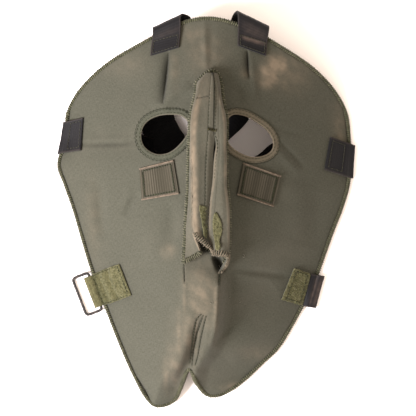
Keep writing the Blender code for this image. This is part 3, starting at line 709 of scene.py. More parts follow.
def stitches(path, up, length, gap, rise):
    """Short thread arcs along the path, each dipping into the cloth at both ends."""
    fine = 0.4
    even = even_path(path, fine)
    normal = resample(np.linspace(0, len(path) - 1, len(even)), np.arange(len(path)), up)
    steps = np.arange(len(even))
    s = np.linspace(0, 1, 6)
    height = rise * (np.sin(np.pi * s) ** 0.5 * 1.4 - 0.6)
    size, made, at = length / fine, [], 0.5
    while at + size < len(even) - 1:
        index = at + s * size
        made.append(resample(index, steps, even) + resample(index, steps, normal) * height[:, None])
        at += (length + gap) / fine
    return made


def serging(path, normals, pitch, reach, depth):
    """A thread wound round a cloth edge: path runs along the edge, normals point off the face."""
    turns = 10
    even = even_path(np.hstack((path, normals)), pitch / turns)
    centre, up = even[:, :3], unit(even[:, 3:])
    count = len(centre)
    out = np.cross(tangents(centre), up)
    turn = 2 * math.pi * np.arange(count) / turns
    knots = np.arange(count // turns + 2)
    rough = np.random.default_rng(RNG_SEED).uniform(-1, 1, len(knots))
    uneven = 1 + 0.12 * np.interp(np.arange(count) / turns, knots, rough)
    return centre + (np.cos(turn) * reach * uneven)[:, None] * out \
        + (np.sin(turn) * depth)[:, None] * up


def grid_corners(rows, columns):
    """The four corners of every cell of a grid of points, in turn round the cell."""
    index = np.arange(rows * columns).reshape(rows, columns)
    return [part.ravel() for part in (index[:-1, :-1], index[:-1, 1:], index[1:, 1:],
                                      index[1:, :-1])]


def grid_at(field, row, column):
    """Values of a grid at fractional rows and columns."""
    r = np.minimum(row.astype(int), field.shape[0] - 2)
    c = np.minimum(column.astype(int), field.shape[1] - 2)
    fr, fc = (row - r)[..., None], (column - c)[..., None]
    return ((field[r, c] * (1 - fc) + field[r, c + 1] * fc) * (1 - fr)
            + (field[r + 1, c] * (1 - fc) + field[r + 1, c + 1] * fc) * fr)


class Panel:
    """A strip of cloth, tape or webbing: a grid of points, row by row, with their outward normals
    and their shares across and down it."""

    def __init__(self, points, flip=False):
        self.points = np.asarray(points, float)
        self.x, self.y = self.points[:, :, 0], self.points[:, :, 1]
        self.flip = flip
        down, across = np.gradient(self.points, axis=0), np.gradient(self.points, axis=1)
        self.normals = unit(np.cross(across, down) * (-1 if flip else 1))
        rows, columns = self.x.shape
        self.across, self.down = np.meshgrid(np.linspace(0, 1, columns), np.linspace(0, 1, rows))

    def at(self, places, lift):
        """Points at (across, down) shares from 0 to 1, lift off the panel, with their normals."""
        rows, columns = self.x.shape
        across, down = np.clip(np.asarray(places, float), 0, 1).T
        where = down * (rows - 1), across * (columns - 1)
        normal = grid_at(self.normals, *where)
        return grid_at(self.points, *where) + lift * normal, normal

    def route(self, corners, lift, closed=False):
        """A path of straight runs between (across, down) corners, on the panel."""
        corners = list(corners) + ([corners[0]] if closed else [])
        runs = [np.linspace(a, b, 24)[:-1] for a, b in zip(corners, corners[1:])]
        return self.at(np.concatenate(runs + [[corners[-1]]]), lift)

    def lifted(self, height):
        """The panel's points at this height over it."""
        return self.points + height[:, :, None] * self.normals

    def mesh(self, name, material, thick, relief=None):
        """The panel as a mesh of the given thickness; relief lifts its points along the normals."""
        points = self.points if relief is None else self.lifted(relief)
        a, b, c, d = grid_corners(*self.x.shape)
        faces = np.column_stack((a, d, c, b) if self.flip else (a, b, c, d))
        across = np.linalg.norm(np.diff(self.points, axis=1), axis=2).mean(axis=0)
        down = np.linalg.norm(np.diff(self.points, axis=0), axis=2).mean(axis=1)
        uv = np.stack(np.meshgrid(*(np.concatenate(([0], np.cumsum(steps)))
                                    for steps in (across, down))), axis=-1)
        obj = add_mesh(name, points.reshape(-1, 3), faces, material, uv.reshape(-1, 2))
        solidify(obj, thick, outward=True)
        return obj


def sew(name, routes, material=STITCH, radius=0.24, length=1.9, gap=0.9, body="root"):
    """Rows of stitches along routes, each a (points, normals) pair."""
    made = [arc for points, normals in routes
            for arc in stitches(points, normals, length, gap, 0.26)]
    place(tubes(name, made, radius, material, 5), "olive_thread", body=body)


def along_face(line, lift):
    """A route along a plan line on the shell."""
    path = even_path(smooth_path(line, 8), 0.8)
    return on_face(path, lift), face_normal(*path.T)


# ------------------------------------------------------------------ shell, lining, edges

def eye_loop(side, margin=0.0):
    """The eye hole's outline, grown by margin."""
    path = even_path(smooth_path(EYES[side], 8, closed=True), 1.1, closed=True)
    tangent = tangents(path, closed=True)
    out = np.column_stack((tangent[:, 1], -tangent[:, 0]))
    x, y = path.T
    area = np.sum(x * np.roll(y, -1) - y * np.roll(x, -1))
    return path + margin * out * (1 if area > 0 else -1)


# Rubbed places, with painted highlight along the beak's creases and on the chin seam's lip: centre,
# half-widths and strength.
WEAR_AND_HIGHLIGHT_SPOTS = [((-4, -66), (11, 26), 0.65), ((-13, -98), (8, 20), 0.6),
              ((-24, -122), (7, 18), 0.5), ((54, 110), (8, 7), 2.2), ((48, 102), (7, 8), 1.8),
              ((60, 99), (6, 8), 0.6), ((30, 104), (4, 4), 0.6), ((66, 104), (16, 14), 0.5),
              ((-12, -62), (4, 24), 0.35), ((-22, -114), (5, 20), 0.35),
              ((104, 60), (6, 22), 0.45), ((-16.8, -64), (1.6, 22), 0.55),
              ((-21, -98), (2.0, 20), 0.55), ((-31, -128), (2.5, 12), 0.6),
              ((-7.2, -91), (1.6, 9), 0.8), ((6.8, -72), (1.8, 22), 0.8), ((5, -83), (3, 4), 0.6),
              ((-29, -33), (5, 5), 0.5), ((62, -118), (12, 7), 0.4), ((24, -139), (10, 3), 0.7),
              ((0, 118), (14, 16), 0.4), ((-10, 133), (14, 8), 0.35), ((-24, 108), (4, 14), 0.3),
              ((-60, 112), (18, 10), 0.15), ((-88, -10), (6, 30), 0.2),
              ((40, -112), (14, 6), 0.3)]


def worn_amount(x, y):
    """How far the shell's cloth is rubbed pale, with painted highlight along the beak's creases."""
    total = np.zeros(len(x))
    for (cx, cy), (rx, ry), strength in WEAR_AND_HIGHLIGHT_SPOTS:
        spot = 0.72 * strength * np.exp(-((x - cx) / rx) ** 2 - ((y - cy) / ry) ** 2)
        total = np.maximum(total, spot)
    grit = 0.75 + 0.4 * waves(x, y, 11, 6) + 0.25 * waves(x, y, 12, 2.4)
    return np.clip(total * np.clip(grit, 0.5, 1.2), 0, 1)


# Dirt and painted shade in the darts and seams, and painted shade in the left cheek crease: the
# line, its width and its strength.
DIRT_AND_SHADE_LINES = [(LEFT_DART, 1.3, 0.9), (RIGHT_DART, 1.1, 0.8), (CHIN_SEAM_LEFT, 0.5, 0.8),
              (CHIN_SEAM_MIDDLE, 0.7, 0.9), (CHIN_SEAM_RIGHT, 0.5, 0.8), (LEFT_FOOT_SEAM, 0.7, 0.8),
              (RIGHT_FOOT_SEAM, 0.8, 0.8), (LEFT_CHEEK_CREASE, 1.6, 0.22)]


def dark_amount(x, y):
    """Dirt held in the darts and seams, with painted shade there and in the left cheek crease, in a
    soft band beside each forehead dart and under the flaps' lower ends.
    """
    total = np.maximum(bell(x / 5, 4) * bell((y + 30) / 4, 4), under_tube(x, y))
    for line, width, most in DIRT_AND_SHADE_LINES:
        gap, where, _ = line_field(x, y, line)
        total = np.maximum(total, most * bell(gap / width) * np.sin(np.pi * where) ** 0.4)
    # Painted shade: a soft band on one side of each forehead dart, where its fold slopes away from
    # the light.
    for line, width in ((LEFT_DART, 4.4), (RIGHT_DART, 2.6)):
        gap, where, side = line_field(x, y, line)
        soft = 0.62 * bell(gap / width) * np.sin(np.pi * where) ** 0.6 * (side > 0)
        total = np.maximum(total, soft)
    return np.clip(total, 0, 1)


SHELL_INSET = EDGE_INSET - 1.2  # the drawn shell's edge lies under the serging


def make_shell():
    """The outer shell and the lining under it."""
    eyes = [eye_loop(side, 0.6) for side in EYES]
    lines = [LEFT_DART, RIGHT_DART, CHIN_SEAM_LEFT, CHIN_SEAM_MIDDLE, CHIN_SEAM_RIGHT,
             LEFT_FOOT_SEAM, RIGHT_FOOT_SEAM]
    flat, faces = flat_cloth(outline(SHELL_INSET), eyes + [nose_opening(0)], 1.35, lines)
    shell = add_mesh("mask_shell", on_face(flat), faces, OLIVE, flat)
    set_values(shell, worn=worn_amount(*flat.T), dark=dark_amount(*flat.T))
    solidify(shell, SHELL_THICK)
    place(shell, "olive_cloth", "outer_shell")

    eyes = [eye_loop(side, 2.0) for side in EYES]
    flat, faces = flat_cloth(outline(LINING_INSET), eyes + [nose_opening(2)], 4.0)
    x, y = flat.T
    depth = (SHELL_THICK + LAYER_GAP) / face_normal(x, y)[:, 2]
    sag = 32 * bell(x / 11) * smoothstep((y - 42) / 8) * smoothstep((106 - y) / 12)
    points = on_face(flat)
    points[:, 2] = np.maximum(points[:, 2] - depth - sag, LINING_LOWEST)
    lining = add_mesh("soft_lining", points, faces, LINING, flat)
    set_values(lining, worn=0.0, dark=0.0)
    solidify(lining, LINING_THICK)
    place(lining, "lining_cloth", "lining")


def edge_wrap(name, path, normals, node, reach, depth, pitch, radius, material=SERGE, roll=0.0):
    """Serged edge: a thread wound round the path, over a roll of closer threads."""
    coil = serging(path, normals, pitch, reach, depth)
    place(tubes(name, [coil], radius, material, 5), "olive_thread", node)
    if roll:
        place(tubes(name + "_roll", [path], roll, EDGE_ROLL, 8), "olive_thread")


def make_edges():
    """The serged outline, the bound breathing opening and the seams' stitches."""
    centre = closed_loop(even_path(outline(EDGE_THREAD_R - 0.2), 3.0, closed=True))
    z = np.maximum(face_height(*centre.T), FOOT_HEIGHT) - SHELL_THICK / 2
    edge_wrap("edge_serging", np.column_stack((centre, z)), face_normal(*centre.T),
              "edge_overlock", reach=1.5, depth=1.15, pitch=1.7, radius=0.42, roll=1.25)
    binding = closed_loop(nose_opening(-0.7))
    edge_wrap("opening_serging", on_face(binding, -0.5), face_normal(*binding.T),
              "nose_opening_binding", reach=1.0, depth=0.9, pitch=1.5, radius=0.36)
    seams = ((CHIN_SEAM_LEFT, 0.35), (CHIN_SEAM_RIGHT, 0.35), (CHIN_SEAM_MIDDLE, 0.2),
             (LEFT_FOOT_SEAM, 0.3), (RIGHT_FOOT_SEAM, 0.3))
    sew("dart_stitches", [along_face(line, lift) for line, lift in seams], radius=0.3, length=2.2,
        gap=0.7)


# Across an eye facing: distance out from the hole and height over the shell, round its section.
FACING_SECTION = [(1.0, -2.0), (0.1, -1.7), (-0.25, -0.7), (0.0, 0.2), (0.6, 0.55), (1.4, 0.6),
                  (2.4, 0.55), (3.3, 0.6), (4.0, 0.55), (4.5, 0.4), (4.7, 0.15), (4.0, 0.1),
                  (2.2, 0.1), (0.9, 0.05), (0.45, -0.6), (0.6, -1.5)]


def make_eye_facings():
    """A padded ring round each eye hole, with its two rows of stitches and its overlocked edge."""
    outs = np.array(FACING_SECTION)[:, 0]
    for side in EYES:
        rings = []
        for out, lift in FACING_SECTION:
            loop = eye_loop(side, out)
            puff = 0.12 * waves(*loop.T, 21, 5) if lift > 0.5 else 0.0
            rings.append(on_face(loop, lift + puff))
        points = np.array(rings).transpose(1, 0, 2)
        index = np.arange(points[..., 0].size).reshape(points.shape[:2])
        faces = np.column_stack([np.roll(index, (-down, -across), (0, 1)).ravel()
                                 for down, across in ((0, 0), (1, 0), (1, 1), (0, 1))])
        flat = points.reshape(-1, 3)
        ring = add_mesh(f"{side}_eye_ring", flat, faces, FACING, flat[:, :2])
        across = np.tile(outs, len(points))
        # Painted light: the right ring is made paler all over to lift its shade. Both rings are
        # paler along the inner lip.
        set_values(ring, worn=0.3 * bell((across + 0.1) / 0.5) + 0.5 * (side == "right"),
                   dark=0.3 * bell((across - 4.7) / 0.3))
        place(ring, "olive_cloth", f"{side}_eye_facing")
        outer = closed_loop(eye_loop(side, FACING_WIDTH + 0.4))
        zigzag = closed_loop(eye_loop(side, FACING_WIDTH + 0.2))
        swing = 0.5 * np.where(np.arange(len(zigzag)) % 2, 1, -1)[:, None]
        thread = on_face(zigzag + swing * unit(outer - zigzag), 0.45)
        place(tubes(f"{side}_eye_overlock", [thread], 0.2, STITCH, 5), "olive_thread")
        loops = [closed_loop(eye_loop(side, out)) for out in (1.2, 3.7)]
        sew(f"{side}_eye_stitches", [(on_face(loop, 0.6), face_normal(*loop.T)) for loop in loops])


make_shell()
make_edges()
make_eye_facings()


# ------------------------------------------------------------------ nose cover and flaps

# By y, down the cover: how far its middle sinks between the rounded halves, how far their crowns
# rise, the line where they meet, the slit's width, and the grooves in the left and right half.
MIDDLE_DIP = [(-50, 2.0), (-30, 3.0), (20, 3.2), (46, 2.4), (57, 1.0), (62, 0.4), (80, 0.0)]
CROWN_RISE = [(-50, 1.4), (40, 1.2), (62, 0.6), (80, 0.3), (105, 0.0)]
MEETING_LINE = [(-51, 7.4), (-37, 7.2), (-34.3, 5.4), (-26.6, 2.4), (-19.5, 1.1), (-6.8, 1.4),
                (6, 2.5), (20, 4.2), (31.4, 5.0), (41, 5.7), (50.5, 6.5), (57, 5.4), (62, 5.3),
                (70, 5.5), (95, 5.6), (105.5, 4.6)]
SLIT_GAP = [(-34, 0.2), (-22, 0.8), (-10, 1.7), (3, 1.9), (22, 1.4), (35, 1.6), (46, 2.2),
            (52, 0.9), (56.5, 0.0)]
STRIP_LINE = [(-34, -2), (-13, -3), (10, -1.0), (25, -0.9), (43, 0), (57, 1.2), (70, 1.7),
              (83, 2.3), (97, 3.6), (105.5, 4.2)]
RIGHT_FOLD_LINE = [(-34, 9), (-10, 6.5), (20, 8.4), (45, 10.4), (57, 9.4)]
# The serged band's width outside the cover's two feet.
LEFT_BAND = [(-51, 1.4), (-41, 1.8), (-25, 2.6), (60, 2.8), (80, 2.6), (105, 2.2)]
RIGHT_BAND = [(-51, 1.0), (40, 1.0), (52, 1.4), (70, 2.4), (95, 2.4), (105, 2.0)]
TABLE_STEP = 0.75
TABLE_Y = np.arange(-51.0, 106.0, TABLE_STEP)
TABLE_SHARE = np.linspace(0, 1, 121)


def cover_rows():
    """Rounded sections of the nose cover, each 121 points an even distance apart: (x, z) by y; and
    the shares across each one where its two creases are."""
    sections, shares = [], []
    kernel = np.exp(-0.5 * (np.arange(-9, 10) / 3.0) ** 2)
    kernel /= kernel.sum()
    for y in TABLE_Y:
        left_foot = along(COVER_LEFT_FOOT, y) + along(LEFT_BAND, y)
        right_foot = along(COVER_RIGHT_FOOT, y) - along(RIGHT_BAND, y)
        left, right = along(COVER_LEFT_CREASE, y), along(COVER_RIGHT_CREASE, y)
        top, dip, middle = along(COVER_HEIGHT, y), along(MIDDLE_DIP, y), along(MEETING_LINE, y)
        crown = top + along(CROWN_RISE, y)
        corners = np.array([
            (left_foot, face_height(left_foot, y) + COVER_LIFT), (left, top),
            (left * 0.7 + middle * 0.3, crown), (middle * 0.75 + left * 0.25, crown - 0.45 * dip),
            (middle, top + along(COVER_PEAK, y) - dip),
            (middle * 0.75 + right * 0.25, crown - 0.45 * dip),
            (right * 0.7 + middle * 0.3, crown), (right, top),
            (right_foot, face_height(right_foot, y) + COVER_LIFT)], float)
        runs = run_lengths(corners)
        shares.append((runs[1] / runs[-1], runs[-2] / runs[-1]))
        fine = even_path(corners, 0.25)
        padded = np.vstack((2 * fine[0] - fine[9:0:-1], fine, 2 * fine[-1] - fine[-2:-11:-1]))
        soft = np.column_stack([np.convolve(column, kernel, "valid") for column in padded.T])
        length = run_lengths(soft)
        sections.append(resample(TABLE_SHARE * length[-1], length, soft))
    return np.array(sections), np.array(shares)


COVER_ROWS, CREASE_SHARES = cover_rows()


def cover_at(share, y):
    """Points of the cover at shares of the way across each section, at y."""
    y = np.asarray(y, float)
    row = np.clip((y - TABLE_Y[0]) / TABLE_STEP, 0, len(TABLE_Y) - 1.001)
    column = np.clip(np.asarray(share, float), 0, 1) * (len(TABLE_SHARE) - 1.001)
    xz = grid_at(COVER_ROWS, row, column)
    return np.stack((xz[..., 0], y + 0 * xz[..., 0], xz[..., 1]), axis=-1)


def share_at(x, y):
    """The share across the section where its top, between the creases, reaches x at y."""
    row = np.clip((np.asarray(y, float) - TABLE_Y[0]) / TABLE_STEP, 0, len(TABLE_Y) - 1)
    found = []
    for px, k in zip(np.broadcast_to(x, row.shape), np.rint(row).astype(int)):
        low, high = CREASE_SHARES[k] + (-0.06, 0.06)
        top = (TABLE_SHARE >= low) & (TABLE_SHARE <= high)
        found.append(np.interp(px, np.maximum.accumulate(COVER_ROWS[k, top, 0]), TABLE_SHARE[top]))
    return np.array(found)


def cover_height(x, y):
    """Height of the cover's rounded top at plan points."""
    x, y = np.asarray(x, float), np.asarray(y, float)
    return cover_at(share_at(x, y), y)[:, 2]


# The share of a half's cloth, from its foot to the slit, at which it goes over the crease.
CREASE = 0.45
# The hems: y of the lower edge at shares of the way from the foot to the slit. The left one jumps
# where the flap's tip hangs free of the crease.
HEMS = {"left": [(0, -41.6), (0.15, -40.0), (0.3, -37.2), (0.485, -33.8), (0.495, -18.0),
                 (0.55, -21.2), (0.7, -26), (0.85, -30.4), (1, -34.2)],
        "right": [(0, -49.3), (0.2, -46), (0.42, -40), (0.5, -36.8), (0.7, -34.8), (0.85, -34.4),
                  (1, -34.2)]}
# How each flap's lower end curls up: between which shares, and by how much.
CURL = {"left": ((0.46, 1.1), 2.4), "right": ((0.4, 1.0), 2.4)}
FOLD_REACH = 2.2  # half the distance between the two ends that make_half finds across the flap's hinge


def cover_wear_and_highlight(points, grain):
    """Rubbed ridges of the cover, by place, with painted highlight along both creases and beside the
    slit, and a little paler all over, more towards its top end.
    """
    x, y = points[:, 0], points[:, 1]
    strength = along([(-45, 0.1), (-30, 0.35), (-18, 0.85), (30, 1.15), (60, 1.15), (82, 0.8),
                      (88, 0.3), (105, 0.25)], y)
    near = x - along(COVER_LEFT_CREASE, y) - 2.2
    worn = strength * bell(near / np.where(near < 0, 1.7, 2.4))
    slit = 0.55 * bell(x - along(MEETING_LINE, y) - 1.8) * smoothstep((54 - y) / 10)
    for more in (0.1 + 0.12 * smoothstep((y - 70) / 15),
                 0.5 * strength * bell((x - along(COVER_RIGHT_CREASE, y) + 0.8) / 1.1), slit):
        worn = np.maximum(worn, more)
    grit = 0.85 + 0.22 * waves(x, y, 31, 9) + 0.2 * waves(x, y, 32, 2.5) + 0.1 * grain
    return np.clip(worn * grit, 0, 1)


def half_points(side, across, down):
    """Points of one half of the cover: across from foot to meeting line, down to the hem."""
    left = side == "left"
    hem, start = along(HEMS[side], across), COVER_TOP - 2.6
    y = start + (hem - start) * down
    middle = along(MEETING_LINE, y) + (-0.5 if left else 0.5) * along(SLIT_GAP, y)
    crease = np.interp(y, TABLE_Y, CREASE_SHARES[:, 0 if left else 1])
    foot = 0.0 if left else 1.0
    low = np.clip(across / CREASE, 0, 1)
    high = np.clip((across - CREASE) / (1 - CREASE), 0, 1)
    points = cover_at(foot + (crease - foot) * low + (share_at(middle, y) - crease) * high, y)
    (start, end), rise = CURL[side]
    over = np.clip((across - start) / (end - start), 0, 1)
    points[..., 2] += rise * np.sin(np.pi * over) * smoothstep(1 - (y - hem) / 12)
    return points


COLUMN_SHARES = np.concatenate((np.linspace(0, 0.485, 33), np.linspace(0.495, 1, 47)))
COLUMN_PLACES = np.linspace(0, 1, len(COLUMN_SHARES))
# Each half: the line of its groove, the groove's depth, width and painted shade, and the cloth's
# flat size.
HALVES = {"left": (STRIP_LINE, 0.5, 0.42, 0.9, (0.036, 0.145)),
          "right": (RIGHT_FOLD_LINE, 0.2, 0.6, 0.25, (0.028, 0.145))}


def make_half(side):
    """One half of the nose cover with its flap, in one cloth."""
    left = side == "left"
    line, depth, width, dirt_and_shade, size = HALVES[side]
    points = np.array([half_points(side, COLUMN_SHARES, down) for down in np.linspace(0, 1, 170)])
    panel = Panel(points, flip=left)
    x, y = panel.x, panel.y
    gap = x - along(line, y)
    relief = -depth * bell(gap / width)
    flat = points.reshape(-1, 3)
    worn = cover_wear_and_highlight(flat, waves(flat[:, 0] * 4, flat[:, 1] * 0.5, 33, 6)).reshape(x.shape)
    # Painted shade along the groove.
    dark = dirt_and_shade * bell(gap / 0.42)
    if left:
        # The left half's crosswise groove near its top: sunk, with painted shade in it.
        cross = bell((y - 83.4 - 0.18 * (x + 8)) / 0.4) * (gap < 0) * (x > -7.5)
        relief += 0.35 * smoothstep(gap / 0.8)
        relief -= 0.35 * cross
        dark = np.maximum(dark, 0.8 * cross)
        cut = bell((COLUMN_SHARES - 0.46) / 0.04, 4)[None, :] * smoothstep((-17 - y) / 3)
        worn = np.maximum(worn, 0.8 * cut)
    relief += 0.1 * waves(x, y, 41, 9) + 0.35 * waves(x, y * 0.4, 43, 8)
    dark = np.maximum(dark, 0.9 * bell((x - along(MEETING_LINE, y)) / 0.45) * (y > 55))
    half = panel.mesh(f"{side}_nose_flap", OLIVE, COVER_THICK, relief)
    set_values(half, worn=worn, dark=np.clip(dark, 0, 1))
    top, foot = (np.array((*p, 0.0)) for p in HINGES[side])
    run = unit(foot - top)
    inward = np.array((-run[1], run[0], 0.0)) * (1 if left else -1)
    centre = 0.5 * (top + foot)
    centre[2] = float(cover_height(centre[:1], centre[1:2])[0])
    ends = tuple((centre - FOLD_REACH * inward) * MM), tuple((centre + FOLD_REACH * inward) * MM)
    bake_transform(half)
    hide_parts(f"{side}_flap", "nose_cover")
    return panel, ends


def bend_with(obj):
    """Bakes a thread's or trim's transform into its mesh."""
    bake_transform(obj)


# The serged runs of each hem, between which shares, and their thread.
HEM_RUNS = {"left": [((0.0, 0.475), COVER_THREAD), ((0.525, 0.995), PALE_THREAD)],
            "right": [((0.0, 0.995), PALE_THREAD)]}
HEM_ROW, HEM_LIFT = 0.988, 1.2  # how far down the cloth the hem's thread runs, and over it
FRAY_SEEDS = {"left": 17, "right": 23}


def make_flap_trim(side, panel):
    """Serged hem, slit stitching and loose threads of one flap."""

    def thread(name, paths, radius, material, sides):
        bend_with(tubes(f"{side}_{name}", paths, radius, material, sides))

    for k, ((start, end), material) in enumerate(HEM_RUNS[side]):
        columns = np.interp(np.linspace(start, end, 60), COLUMN_SHARES, COLUMN_PLACES)
        points, normals = panel.at([(c, HEM_ROW) for c in columns], HEM_LIFT)
        thread(f"hem_serging_{k}", [serging(points, normals, 1.7, 1.8, 1.0)], 0.42, material, 5)
        thread(f"hem_roll_{k}", [points], 0.7, EDGE_ROLL, 6)
    if side == "left":
        ys = np.linspace(100, -30, 150)
        x = along(STRIP_LINE, ys)
    else:
        ys = np.linspace(100, 20, 150)
        x = along(MEETING_LINE, ys) + (0.9 + 0.5 * along(SLIT_GAP, ys))
    route = cover_at(share_at(x, ys), ys) + (0, 0, COVER_THICK + 0.1)
    made = stitches(route, np.tile((0.0, 0.0, 1.0), (len(ys), 1)), 1.9, 0.9, 0.28)
    thread("flap_stitches", made, 0.22, STITCH, 5)
    rng = np.random.default_rng(FRAY_SEEDS[side])
    ends = []
    steps = np.linspace(0, 1, 9)[:, None]
    for share in np.interp(np.linspace(0.51, 0.99, 26), COLUMN_SHARES, COLUMN_PLACES):
        start, normal = panel.at([(share, 1.0)], 0.9)
        turn = rng.uniform(0, 2 * math.pi)
        swirl = np.column_stack((np.cos(turn + 3 * steps), -0.2 - 0.5 * steps,
                                 0.4 * np.sin(4 * steps)))
        ends.append(start + normal * 0.3 * steps + swirl * steps * rng.uniform(0.8, 2.2))
    thread("frayed_ends", ends, 0.2, PALE_THREAD, 4)


# Outlines of the hook tape beside the slit.
FLAP_TAPES = {"left": [(-5.4, 1.4), (-4.6, 2.4), (-1.6, 1.6), (0.6, 0.2), (0.6, -10), (0.7, -21),
                       (-0.6, -22.6), (-1.9, -19), (-3.7, -9)],
              "right": [(6.9, -2.8), (8.9, -5.4), (11.0, -10), (11.7, -15), (11.1, -20.2),
                        (9.9, -24.4), (10.4, -28.2), (9.6, -31.2), (7.0, -31.4), (6.2, -25.3),
                        (5.2, -18.9), (4.6, -11.3), (5.2, -5.5)]}


def make_flap_tape(side):
    """The hook tape beside the slit, with its pile."""
    flat, faces = flat_cloth(smooth_path(FLAP_TAPES[side], 6, closed=True), [], 0.55)
    x, y = flat.T
    z = cover_height(x, y) + SHELL_THICK + 0.55
    z += CURL[side][1] * smoothstep((-17 - y) / 14)
    z += 0.28 * waves(x, y, 51, 1.5) + 0.2 * waves(x, y, 52, 4)
    points = np.column_stack((flat, z))
    tape = add_mesh(f"{side}_flap_tape", points, faces, LIME, flat)
    solidify(tape, 0.9)
    place(tape, "lime_tape", f"{side}_flap_hook_tape", body=f"{side}_flap")
    pile(f"{side}_flap_tape_pile", points, faces, 320, f"{side}_flap")


def pile(name, points, faces, count, body):
    """Little hooks and loops that stand on a tape."""
    rng = np.random.default_rng(61)
    picks = rng.integers(0, len(faces), count)
    weights = rng.dirichlet((1, 1, 1), count)
    corners = points[faces[picks][:, :3]]
    feet = np.einsum("nij,ni->nj", corners, weights)
    normals = unit(np.cross(corners[:, 1] - corners[:, 0], corners[:, 2] - corners[:, 0]))
    loops = []
    arc = np.linspace(0, math.pi, 5)[:, None]
    for foot, up in zip(feet, normals):
        up = -up if up[2] < 0 else up
        lean = unit(np.cross(up, rng.normal(size=3)))
        size = rng.uniform(0.5, 1.1)
        loops.append(foot - 0.15 * up + lean * (1 - np.cos(arc)) * 0.4 * size
                     + up * np.sin(arc) * 0.55 * size)
    place(tubes(name, loops, 0.09, LIME_FUZZ, 3, caps=False), "lime_tape", body=body)


TACK_X, TACK_Y = 4.1, 59.6


def make_nose():
    """Both halves of the cover with their flaps, the serged feet and the tack at the slit's top."""
    for side in ("left", "right"):
        panel, line = make_half(side)
        make_flap_trim(side, panel)
        make_flap_tape(side)
    ys = np.concatenate((np.linspace(-41.5, 92, 90), np.linspace(92.5, 105.2, 30)))
    left = np.column_stack((along(COVER_LEFT_FOOT, ys) + 0.55 * along(LEFT_BAND, ys), ys))
    right = np.column_stack((along(COVER_RIGHT_FOOT, ys) - 0.55 * along(RIGHT_BAND, ys), ys))[::-1]
    feet = even_path(np.concatenate((left, right)), 1.5)
    edge_wrap("nose_cover_serging", on_face(feet, COVER_LIFT * 0.9), face_normal(*feet.T),
              "nose_cover_overlock", reach=1.9, depth=1.0, pitch=1.8, radius=0.46,
              material=COVER_THREAD, roll=1.25)
    steps = np.linspace(-3.0, 3.2, 18)
    x = TACK_X + steps
    y = TACK_Y - 0.25 * steps + np.where(np.arange(len(steps)) % 2, 1.1, -1.1)
    tack = np.column_stack((x, y, cover_height(x, y) + SHELL_THICK + 0.5))
    place(tubes("flap_bartack_thread", [tack], 0.3, TACK_THREAD), "olive_thread", "flap_bartack")


make_nose()


# ------------------------------------------------------------------ cheek patches

CHEEK_PATCHES = {"left": [(-48.9, 6.5), (-20.6, 11.2), (-24.9, 36.8), (-50.9, 30.5)],
                 "right": [(22.9, 10.5), (50.9, 1.5), (56.7, 25.0), (27.6, 34.8)]}
PATCH_WIDTH, PATCH_LENGTH = 27, 26


def four_sided(corners, columns, rows, lift):
    """A panel over a plan four-sider on the shell, from its upper edge down."""
    low_left, low_right, high_right, high_left = np.array(corners, float)
    u, v = np.meshgrid(np.linspace(0, 1, columns), np.linspace(0, 1, rows))
    u, v = u[..., None], v[..., None]
    plan = (high_left * (1 - u) + high_right * u) * (1 - v) \
        + (low_left * (1 - u) + low_right * u) * v
    z = face_height(plan[..., 0], plan[..., 1]) + lift
    return Panel(np.concatenate((plan, z[..., None]), axis=-1), flip=True)


def box(u, v):
    """Corners of a stitched box, that far in from the sides and ends of a panel."""
    return [(u, v), (1 - u, v), (1 - u, 1 - v), (u, 1 - v)]


def make_cheek_patch(side):
    """Ribbed fastener tape, stitched round its edge, with two pale corded selvedges."""
    panel = four_sided(CHEEK_PATCHES[side], 161, 40, 0.25)
    u, v, x, y = panel.across, panel.down, panel.x, panel.y
    ends, sides = np.minimum(u, 1 - u) * PATCH_WIDTH, np.minimum(v, 1 - v) * PATCH_LENGTH
    edge = np.minimum(ends, sides)
    relief = 0.1 * np.cos(2 * math.pi * 14 * u) * smoothstep((edge - 2.2) / 0.5) \
        - 0.3 * bell((edge - 2.1) / 0.5) + 0.12 * waves(x, y, 71, 6)
    patch = panel.mesh(f"{side}_cheek_tape", BROWN, PATCH_THICK, relief)
    grit = 0.8 + 0.35 * waves(x, y, 73, 2.2)
    set_values(patch, worn=np.clip(bell(sides / 1.1, 4) * grit, 0, 1))
    place(patch, "brown_tape", f"{side}_cheek_patch")
    routes = [panel.route(corners, PATCH_THICK - 0.05, closed=True)
              for corners in (box(0.085, 0.09), box(0.1, 0.105))]
    sew(f"{side}_cheek_stitches", routes, TAPE_STITCH, 0.34, 1.7, 0.6)
    cords = [panel.at([(share, row) for share in np.linspace(0, 1, 70)], PATCH_THICK)[0]
             for row in (0.012, 0.988)]
    place(tubes(f"{side}_cheek_selvedge", cords, 0.5, SELVEDGE, 8), "brown_tape")


for cheek in CHEEK_PATCHES:
    make_cheek_patch(cheek)


# ------------------------------------------------------------------ straps

def station(ax, ay, bx, by, low=STRAP_THICK, high=None, follow=0):
    """Both rails of a strap at one place. Heights are over the floor, or over the shell where
    follow is 1, and the second rail is as high as the first unless it says otherwise."""
    return ax, ay, low, bx, by, low if high is None else high, follow


def ribbon_panel(stations, steps, columns):
    """Webbing between two rails, as in the CAD: its points are on the side that faces the mask."""
    rails = smooth_path([station(*row) for row in stations], steps)
    v = np.linspace(0, 1, columns)
    a, b = rails[:, None, 0:3], rails[:, None, 3:6]
    points = a + (b - a) * v[None, :, None]
    points[:, :, 2] += rails[:, 6:7] * face_height(points[:, :, 0], points[:, :, 1])
    points[:, :, 2] = np.maximum(points[:, :, 2], STRAP_THICK)
    return Panel(points, flip=Panel(points).normals[:3].mean(axis=(0, 1))[2] < 0)


def webbing_relief(panel, seed=81):
    """Ribs along the webbing, firmer woven edges and a little waviness."""
    v = panel.across
    edge = np.minimum(v, 1 - v) * WEB_WIDTH
    relief = 0.012 * np.cos(2 * math.pi * 12 * v) + 0.14 * bell(edge / 0.9)
    return relief + 0.15 * waves(panel.x, panel.y, seed, 9)


